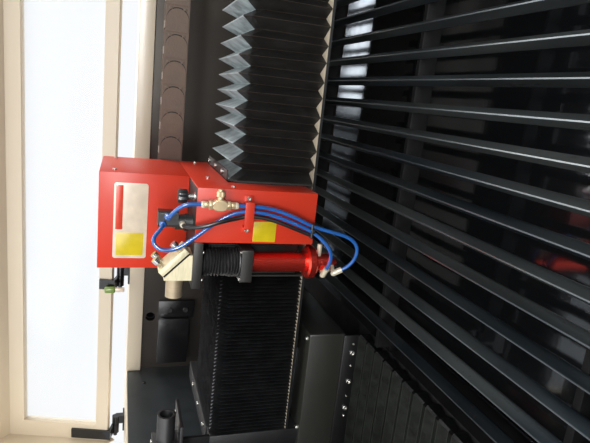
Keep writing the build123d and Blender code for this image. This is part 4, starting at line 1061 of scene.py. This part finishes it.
class LinkChain(bpy.types.Operator):
    """Cable chain: plated links with cross bars, on the upper run, the bend and the lower run"""

    bl_idname = "machine.link_chain"
    bl_label = "Cable chain"

    def plate(self, size, depth, foot, side, start, end):
        """Flat plate on one side of a link: round at both ends, a small one only at its far end."""
        radius = LINK_HEIGHT / 2 * size
        inner_face = LINK_WIDTH / 2 - 0.0035
        piece = turned("plate", [(radius, 0), (radius, depth)],
                       (0, side * (inner_face + foot), 0), (0, side, 0), 36)
        for vertex in piece.data.vertices:
            if vertex.co.x > 1e-6:
                vertex.co.x += end
            else:
                vertex.co.x = start if size < 1 else vertex.co.x + start
        return modify(piece, "BEVEL", width=0.0002, segments=2, limit_method="ANGLE")

    def link(self, length):
        """One link along +X: round-ended plates, each with a raised face, tabs and cross bars."""
        parts = []
        for side in (-1, 1):
            parts.append(self.plate(1, 0.002, 0, side, -length / 2, length / 2))
            parts.append(self.plate(FACE_SHARE, 0.0014, FACE_FOOT, side, -length * 0.32,
                                    length * 0.16))
            for z in (-0.36, 0.22):
                low = Vector((length * 0.565, side * (LINK_WIDTH / 2 - 0.002), LINK_HEIGHT * z))
                high = Vector((length * 0.655, side * (LINK_WIDTH / 2 - 0.0002),
                               LINK_HEIGHT * (z + 0.14)))
                low, high = (Vector(map(f, low, high)) for f in (min, max))
                parts.append(slab_piece("tab", low, high, 0.0002))
        reach = Vector((0.007, LINK_WIDTH / 2 - 0.002, 0.002))
        for side in (-1, 1):
            middle = Vector((0, 0, side * (LINK_HEIGHT / 2 - 0.0022)))
            parts.append(slab_piece("bar", middle - reach, middle + reach, 0.0008))
        return join("link", parts)

    def shade_arc(self, length):
        """Painted shade: a dark arc beside the round end of a link's raised face, where the face steps
        down.
        """
        parts = [
            self.plate(FACE_SHARE, 0.0009, FACE_FOOT, side, length * 0.1, length * 0.16 + 0.0017)
            for side in (-1, 1)
        ]
        return join("shade_arc", parts)

    def execute(self, context):
        low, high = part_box("x_chain")
        head_end = Vector((-0.44, low.y + LINK_WIDTH / 2, high.z - LINK_HEIGHT / 2))
        bend = head_end + Vector((UPPER_LINKS * LINK_PITCH, 0, 0))
        anchor = bend - Vector((LOWER_LINKS * LINK_PITCH, 0, 0))
        upper = [(head_end.x + (i + 0.5) * LINK_PITCH, bend.z, 0) for i in range(UPPER_LINKS)]
        lower = []
        for i in range(BEND_LINKS):
            turn = math.pi * (i + 0.5) / BEND_LINKS
            lower.append((bend.x + BEND_RADIUS * math.sin(turn),
                          bend.z - BEND_RADIUS + BEND_RADIUS * math.cos(turn), turn))
        for i in range(LOWER_LINKS):
            lower.append((bend.x - (i + 0.5) * LINK_PITCH, bend.z - 2 * BEND_RADIUS, math.pi))
        length = LINK_PITCH - 0.003
        # The second family is painted shade: dark arcs where each link's raised face steps down
        for family, finish, pattern in (
            ("x_chain", "chain", self.link(length)),
            ("x_chain_shade_arcs", "dull_black", self.shade_arc(length)),
        ):
            for part, route, start, end in (
                ("upper", upper, bend, head_end), ("lower", lower, anchor, bend),
            ):
                copies = []
                for index, (x, z, turn) in enumerate(route):
                    shrink = 1 - 0.004 * (index % 2)
                    place = Matrix.Translation((x, bend.y, z)) @ Matrix.Rotation(turn, 4, "Y")
                    copies.append(copy_of(pattern, place @ Matrix.Diagonal((1, shrink, shrink, 1))))
                piece = paint(smooth(join(f"{family}_{part}", copies)), finish)
                if family == "x_chain":
                    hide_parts("x_chain")
                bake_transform(piece)
                # Shares along each run are worked out as if the bend went half as far as the head and
                # the gantry held the lower run's end; nothing keeps them
                if part == "upper":
                    share_evenly(piece, 2 * start - end, end)
                else:
                    share_evenly(piece, start, 2 * end - start, 0.5)
            drop(pattern)
        return {"FINISHED"}


# Small pieces

# Upright axis of the valve and its tubes, in the machine's millimetres
VALVE_AXIS = (-409, 117)


def screw_pattern():
    """Socket screw's head of radius 1 on the ground plane, facing up."""
    head = turned("screw_pattern", [(0.6, -0.3), (0.98, -0.3), (0.98, 0.0), (1.0, 0.05), (1.0, 0.5),
                                    (0.86, 0.68), (0.52, 0.68), (0.48, 0.3)], (0, 0, 0), sides=24)
    for vertex in head.data.vertices:
        reach = math.hypot(vertex.co.x, vertex.co.y)
        if vertex.co.z > 0.2 and reach < 0.6:
            turn = math.degrees(math.atan2(vertex.co.y, vertex.co.x)) % 60 - 30
            share = math.cos(math.radians(30)) / math.cos(math.radians(turn))
            vertex.co.x *= share
            vertex.co.y *= share
    return head


def mirrored(places):
    """The same places on both sides of the machine."""
    return [p for x, y, z in places for p in ((x, y, z), (-x, y, z))]


class DriveScrews(bpy.types.Operator):
    """Screws and bolts of the covers, flanges, strips and plates"""

    bl_idname = "machine.drive_screws"
    bl_label = "Screws"

    def execute(self, context):
        s = sizes()
        pattern = screw_pattern()
        left = Vector((-1, 0, 0))
        for name, body, finish, radius, direction, places in (
            ("end_box_screws", "gantry", "nickel", s.screw_head, UP,
             mirrored([(-668, 196, 958), (-850, 194, 959.1), (-668, 455, 958)])),
            ("housing_bolts", "gantry", "nickel", s.screw_head, UP,
             mirrored([(-864, 249, 1128), (-864, 321, 1128), (-864, 394, 1128)])),
            ("strip_bolts", "gantry", "nickel", s.strip_bolt, FRONT,
             mirrored([(-692, 177, 873), (-750, 177, 873), (-806, 177, 873)])),
            ("strip_screws", "gantry", "nickel", s.strip_screw, FRONT,
             mirrored([(-674, 177, 873), (-718, 177, 873), (-781, 177, 873), (-822, 177, 873)])),
            ("flange_bolts", "head", "nickel", s.screw_head, UP,
             [(-378, 250, 1127), (-378, 319, 1127), (-378, 388, 1127)]),
            ("cover_side_screws", "head", "nickel", s.small_screw, RIGHT,
             [(-386, 218, 1156), (-386, 146, 1127), (-386, 390, 1156), (-386, 250, 1300),
              (-386, 390, 1300)]),
            ("cover_left_screws", "head", "nickel", s.small_screw, left,
             [(-543, 250, 1300), (-543, 390, 1300), (-543, 250, 1200), (-543, 390, 1200)]),
            ("strap_screws", "head", "nickel", s.strap_screw, FRONT,
             [(-398.5, 123, 1107), (-447.5, 123, 1107)]),
            ("shelf_nuts", "head", "nickel", s.small_screw, -UP,
             [(-530, 131, 1170), (-486, 131, 1170)]),
            ("plate_nuts", "lens_column", "nickel", s.small_screw, UP,
             [(-530, 133, 1109), (-486, 133, 1109)]),
            ("junction_bolts", "cabinet", "dark_screw", s.junction_bolt, FRONT,
             [(-807, 664, 1160), (-807, 664, 1120)]),
            ("mirror_two_screws", "gantry", "nickel", s.small_screw, UP,
             [(-875, 200, 1186), (-800, 200, 1186), (-845, 143, 1228), (-830, 166, 1228)]),
            ("liner_screws", "cabinet", "dark_screw", s.screw_head, RIGHT,
             [(-975, -640, 1050), (-975, -240, 1220), (-975, 240, 1220), (-975, 600, 1220)]),
            ("front_screws", "cabinet", "dark_screw", s.screw_head, FRONT,
             mirrored([(-1140, -815, 130), (-1140, -815, 600), (-1140, -815, 1040),
                       (-600, -815, 130)])),
            ("rear_screws", "cabinet", "dark_screw", s.screw_head, -FRONT,
             mirrored([(-1140, 815, 130), (-1140, 815, 640), (-1140, 815, 1220),
                       (-400, 815, 130), (-400, 815, 1220)])),
            ("hinge_screws", "cabinet", "dark_screw", s.small_screw, UP,
             mirrored([(-1130, 698, 1266), (-715, 698, 1266)])),
            ("panel_box_screws", "cabinet", "dark_screw", s.small_screw, FRONT,
             [(770, -895, 860), (1070, -895, 860)]),
        ):
            copies = []
            for place in places:
                spin = Matrix.Rotation(0.7 * len(copies), 4, "Z")
                matrix = Matrix.Translation(at(*place)) @ turn_to(direction) @ spin
                copies.append(copy_of(pattern, matrix @ Matrix.Scale(radius, 4)))
            piece = smooth(join(name, copies), 30)
            place_on(piece, body, finish)
        drop(pattern)
        return {"FINISHED"}


class FitColourPlates(bpy.types.Operator):
    """Plain plates of colour on the head's covers, with nothing on them"""

    bl_idname = "machine.fit_colour_plates"
    bl_label = "Colour plates"

    def execute(self, context):
        thick = sizes().plate_thickness * 1000
        upper_front, lower_front, sunk = 225, 125, 0.2
        for name, finish, front, low, high, corner, lift in (
            ("upper_plate", "plate_cream", upper_front, (-526, 1248), (-402, 1300), 0.004, 1),
            ("upper_plate_left", "plate_yellow", upper_front, (-521, 1253), (-483, 1295), 0.0012, 1.3),
            ("upper_plate_band", "plate_red", upper_front, (-478, 1286), (-405.5, 1297), 0.0012, 1.3),
            ("lower_plate_field", "plate_yellow", lower_front, (-466, 1060), (-434, 1096), 0.0012, 1),
        ):
            low_corner = at(low[0], front - thick * lift, low[1])
            high_corner = at(high[0], front + sunk, high[1])
            place_on(rounded_plate(name, low_corner, high_corner, corner), "head", finish)
        return {"FINISHED"}


class FitTubePieces(bpy.types.Operator):
    """Rings that the tubes and the cable pass through, and the tie round them"""

    bl_idname = "machine.fit_tube_pieces"
    bl_label = "Tube rings and tie"

    def execute(self, context):
        for name, place, direction, finish, radius, tall in (
            ("gland_ring_left", (-449, 152, 1229), FRONT, "blue_tube", 0.0054, 0.006),
            ("gland_ring_right", (-437, 152, 1222), FRONT, "blue_tube", 0.0054, 0.006),
            ("cable_boot", (-448, 153, 1200), FRONT, "cream_plastic", 0.0046, 0.011),
            ("valve_ring_top", (*VALVE_AXIS, 1175), UP, "cream_plastic", 0.0052, 0.004),
            ("valve_ring_bottom", (*VALVE_AXIS, 1128), -UP, "cream_plastic", 0.0052, 0.004),
        ):
            ring = turned(name, [(radius * 0.8, -0.001), (radius, -0.001), (radius, tall * 0.55),
                                 (radius * 0.86, tall * 0.7), (radius * 0.86, tall)],
                          at(*place), direction, 28, 0.0003)
            place_on(ring, "head", finish)
        band = slab_piece("tube_tie", at(-456.5, 111.5, 1001.5), at(-432.5, 120.5, 1006.5), 0.002, 4)
        lock = slab_piece("lock", at(-447, 107.5, 1001), at(-441, 112.5, 1007), 0.0006)
        place_on(smooth(join("tube_tie", [lock, band])), "head", "black_plastic")
        return {"FINISHED"}


class LineBeamHole(bpy.types.Operator):
    """Dark sleeve that lines the beam's hole through the rear wall"""

    bl_idname = "machine.line_beam_hole"
    bl_label = "Beam sleeve"

    def execute(self, context):
        inner, outer, front, back, sides = 0.0094, 0.0111, 0.0003, 0.05, 36
        foot = at(-823, 0, 1207)
        foot.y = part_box("rear_wall")[0].y
        piece = turned("beam_sleeve", [
            (inner, back), (outer, back), (outer, front), (inner, front), (inner, back - 0.0001),
        ], foot, -FRONT, sides)
        edit(piece)
        bpy.ops.mesh.select_mode(type="FACE")
        bpy.ops.mesh.select_all(action="DESELECT")
        bpy.ops.mesh.select_face_by_sides(number=sides, type="EQUAL")
        bpy.ops.mesh.delete(type="FACE")
        bpy.ops.mesh.select_all(action="SELECT")
        bpy.ops.mesh.remove_doubles(threshold=0.00015)
        bpy.ops.object.mode_set(mode="OBJECT")
        place_on(piece, "cabinet", "dull_black")
        return {"FINISHED"}


class FitValve(bpy.types.Operator):
    """Cast valve with screwed ports and a knurled knob, over the frame's plain one"""

    bl_idname = "machine.fit_valve"
    bl_label = "Air valve"

    def execute(self, context):
        self.body()
        self.knob()
        return {"FINISHED"}

    def body(self):
        """Body with its hexagons, ports and two small bores in front."""
        middle = at(*VALVE_AXIS, 1151.5)
        body = turned("flow_valve_body", [(0.0078, 0), (0.0088, 0.001), (0.0088, 0.0125),
                                          (0.0078, 0.0135)], at(VALVE_AXIS[0], 124, 1151.5), FRONT, 40)
        for vertex in body.data.vertices:
            vertex.co.z += (vertex.co.z - middle.z) * 0.45
        modify(body, "BEVEL", width=0.0006, segments=2, limit_method="ANGLE")
        hexagons = [
            turned("hexagon", [(0.0064, 0), (0.0074, 0.0009), (0.0074, 0.0058), (0.0064, 0.0066)],
                   at(*VALVE_AXIS, z), way, 6, 0.0004)
            for z, way in ((1161.5, UP), (1141.5, -UP))
        ]
        port = turned("port", [(0.0048, 0), (0.0048, 0.0085), (0.0042, 0.0093)],
                      middle + RIGHT * 0.003, RIGHT, 24, 0.0003)
        ends = [
            turned("end", [(0.0052, 0), (0.0052, 0.0076)], at(*VALVE_AXIS, z), way, 24, 0.0005)
            for z, way in ((1167.3, UP), (1135.7, -UP))
        ]
        bores = [
            turned("bore", [(0.0024, 0), (0.0024, 0.0006), (0.0015, 0.0006), (0.0014, 0.0001)],
                   at(x, 110.5, z), FRONT, 18)
            for x, z in ((-413, 1145), (-405, 1158))
        ]
        piece = join("flow_valve_body", [*hexagons, port, *ends, *bores, body])
        stand_for(smooth(piece), "flow_valve")

    def knob(self):
        """Knurled knob on the valve's right."""
        low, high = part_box("valve_knob")
        centre = Vector((low.x, (low.y + high.y) / 2, (low.z + high.z) / 2))
        radius = (high.z - low.z) / 2
        ridges, groove = 40, 0.09
        knob = turned("valve_knob_knurled", [
            (radius * 0.7, 0), (radius, 0.0009), (radius, 0.0081), (radius * 0.8, 0.009),
            (radius * 0.66, 0.009), (radius * 0.66, 0.0114), (radius * 0.5, 0.012),
        ], centre, RIGHT, ridges)
        for vertex in knob.data.vertices:
            arm = vertex.co - Vector((vertex.co.x, centre.y, centre.z))
            if arm.length > radius * 0.95:
                place = round(math.atan2(arm.z, arm.y) / (math.tau / ridges))
                vertex.co -= arm * groove * (place % 2)
        stand_for(smooth(knob, 20), "valve_knob")


class FitClampKnob(bpy.types.Operator):
    """Lobed black knob with its bright stud and washer"""

    bl_idname = "machine.fit_clamp_knob"
    bl_label = "Clamp knob"

    def execute(self, context):
        low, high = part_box("clamp_knob")
        centre = Vector(((low.x + high.x) / 2, (low.y + high.y) / 2, low.z))
        tall, radius = high.z - low.z, (high.x - low.x) / 2
        lobes, hollow = 6, 0.11
        knob = turned("clamp_knob_lobes", [
            (radius * 0.6, tall * 0.42), (radius * 0.94, tall * 0.47), (radius, tall * 0.53),
            (radius, tall * 0.9), (radius * 0.93, tall * 0.97), (radius * 0.5, tall),
        ], centre, sides=72)
        for vertex in knob.data.vertices:
            arm = vertex.co - Vector((centre.x, centre.y, vertex.co.z))
            if arm.length > radius * 0.9:
                wave = math.cos(lobes * math.atan2(arm.y, arm.x))
                vertex.co -= arm * hollow * (1 - wave)
        stand_for(smooth(knob, 50), "clamp_knob")
        stud = turned("clamp_stud", [
            (radius * 0.62, 0), (radius * 0.62, tall * 0.06), (radius * 0.36, tall * 0.08),
            (radius * 0.36, tall * 0.4), (radius * 0.5, tall * 0.42), (radius * 0.5, tall * 0.46),
        ], centre, sides=24)
        place_on(stud, BODY_OF["clamp_knob"], "bright")
        return {"FINISHED"}


class DressMirror(bpy.types.Operator):
    """Painted shade in the gap of the head's mirror, and the springs under its adjusting screws"""

    bl_idname = "machine.dress_mirror"
    bl_label = "Mirror seam and springs"

    def execute(self, context):
        self.seam()
        self.springs()
        return {"FINISHED"}

    def seam(self):
        """Painted shade: a dark slab in the gap between the mirror's block and its slab."""
        slope, along = Vector((1, 0, 1)).normalized(), Vector((1, 0, -1)).normalized()
        points = [v.co for v in frame["nodes"]["mirror_slab"].data.vertices]
        joint = min(p.dot(slope) for p in points)
        reach = [p.dot(along) for p in points]
        low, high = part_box("mirror_block")
        proud, inset, thick = 0.0003, 0.0006, 0.0013
        half = Vector(((max(reach) - min(reach)) / 2 - inset, (high.y - low.y) / 2 + proud, thick))
        piece = slab_piece("mirror_gap_shade", -half, half, 0.0002)
        centre = slope * joint + along * (max(reach) + min(reach)) / 2
        centre.y = (low.y + high.y) / 2
        turn = Matrix((along, (0, 1, 0), slope)).transposed().to_4x4()
        piece.data.transform(Matrix.Translation(centre) @ turn)
        place_on(piece, "head", "dull_black")

    def springs(self):
        """One wound spring, copied under each of the three screws."""
        wire_radius, coil_radius, coils, tall = 0.0005, 0.0041, 4, 0.0066
        clear_selection()
        bpy.ops.mesh.primitive_circle_add(vertices=10, radius=wire_radius,
                                          location=(coil_radius, 0, 0),
                                          rotation=(math.pi / 2, 0, 0))
        spring = settle(bpy.context.object)
        modify(spring, "SCREW", angle=math.tau * coils, screw_offset=tall, iterations=1,
               steps=80, render_steps=80, axis="Z", use_merge_vertices=True)
        edit(spring)
        bpy.ops.mesh.remove_doubles(threshold=0.000001)
        bpy.ops.mesh.select_all(action="DESELECT")
        bpy.ops.mesh.select_mode(type="EDGE")
        bpy.ops.mesh.select_non_manifold()
        bpy.ops.mesh.edge_face_add()
        close_edit()
        slope = Vector((1, 0, 1)).normalized()
        pieces = []
        for name in ("upper", "rear", "lower"):
            low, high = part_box(f"adjusting_screw_{name}")
            foot = (low + high) / 2 - slope * 0.0088
            pieces.append(copy_of(spring, Matrix.Translation(foot) @ turn_to(slope)))
        drop(spring)
        place_on(smooth(join("mirror_springs", pieces), 60), "head", "brass")


class FitLidCatch(bpy.types.Operator):
    """Catch with a green cap beside the lid's hinge"""

    bl_idname = "machine.fit_lid_catch"
    bl_label = "Lid catch"

    def execute(self, context):
        foot = at(-737, 630.4, 1274)
        post = turned("lid_catch_post", [(0.0048, 0), (0.006, 0.0012), (0.006, 0.021),
                                         (0.0052, 0.022)], foot, UP, 28, 0.0004)
        place_on(post, "lid", "plate_cream")
        cap = turned("lid_catch_cap", [(0.0056, 0), (0.0078, 0.0014), (0.0078, 0.021),
                                       (0.0066, 0.0236), (0.003, 0.0244)],
                     foot + Vector((0, 0, 0.0215)), UP, 28, 0.0006)
        place_on(cap, "lid", "green_plastic")
        return {"FINISHED"}


class FitPanelPieces(bpy.types.Operator):
    """Plain screen and keys of the control panel"""

    bl_idname = "machine.fit_panel_pieces"
    bl_label = "Panel pieces"

    def execute(self, context):
        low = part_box("control_panel")[0]
        front = low.y + 0.004
        screen_low = Vector((low.x + 0.03, front - 0.0025, low.z + 0.02))
        screen_size, key_size = Vector((0.09, 0.0045, 0.06)), Vector((0.016, 0.004, 0.015))
        screen = slab_piece("panel_screen", screen_low, screen_low + screen_size, 0.0012)
        place_on(screen, "cabinet", "screen")
        keys = []
        for column, row in product(range(3), range(3)):
            corner = Vector((low.x + 0.14 + column * 0.022, front - 0.003,
                             low.z + 0.02 + row * 0.021))
            keys.append(slab_piece("key", corner, corner + key_size, 0.0016, 3))
        place_on(smooth(join("panel_keys", keys)), "cabinet", "black_plastic")
        return {"FINISHED"}


class MachinePanel(bpy.types.Panel):
    """Buttons that build the machine's looks"""

    bl_idname = "VIEW3D_PT_machine"
    bl_label = "Laser cutting machine"
    bl_space_type = "VIEW_3D"
    bl_region_type = "UI"
    bl_category = "Machine"

    def draw(self, context):
        for operator in OPERATORS:
            self.layout.operator(operator.bl_idname)


OPERATORS = [
    SetStage, PaintNodes, LayCords, RoundSheets, FoldCovers, FoldBellows, LinkChain, DriveScrews,
    FitColourPlates, FitTubePieces, LineBeamHole, FitValve, FitClampKnob, DressMirror,
    FitLidCatch, FitPanelPieces,
]
CLASSES = [MachineSizes, MachineColours, *OPERATORS, MachinePanel]


def register():
    """Register the classes and their settings."""
    for cls in CLASSES:
        bpy.utils.register_class(cls)
    bpy.types.Scene.machine_sizes = bpy.props.PointerProperty(type=MachineSizes)
    bpy.types.Scene.machine_colours = bpy.props.PointerProperty(type=MachineColours)


def unregister():
    """Take the classes and their settings away."""
    del bpy.types.Scene.machine_colours
    del bpy.types.Scene.machine_sizes
    for cls in reversed(CLASSES):
        bpy.utils.unregister_class(cls)


def main():
    """Build everything."""
    register()
    for operator in OPERATORS:
        group, name = operator.bl_idname.split(".")
        getattr(getattr(bpy.ops, group), name)()
    bpy.context.view_layer.update()


if __name__ == "__main__":
    main()
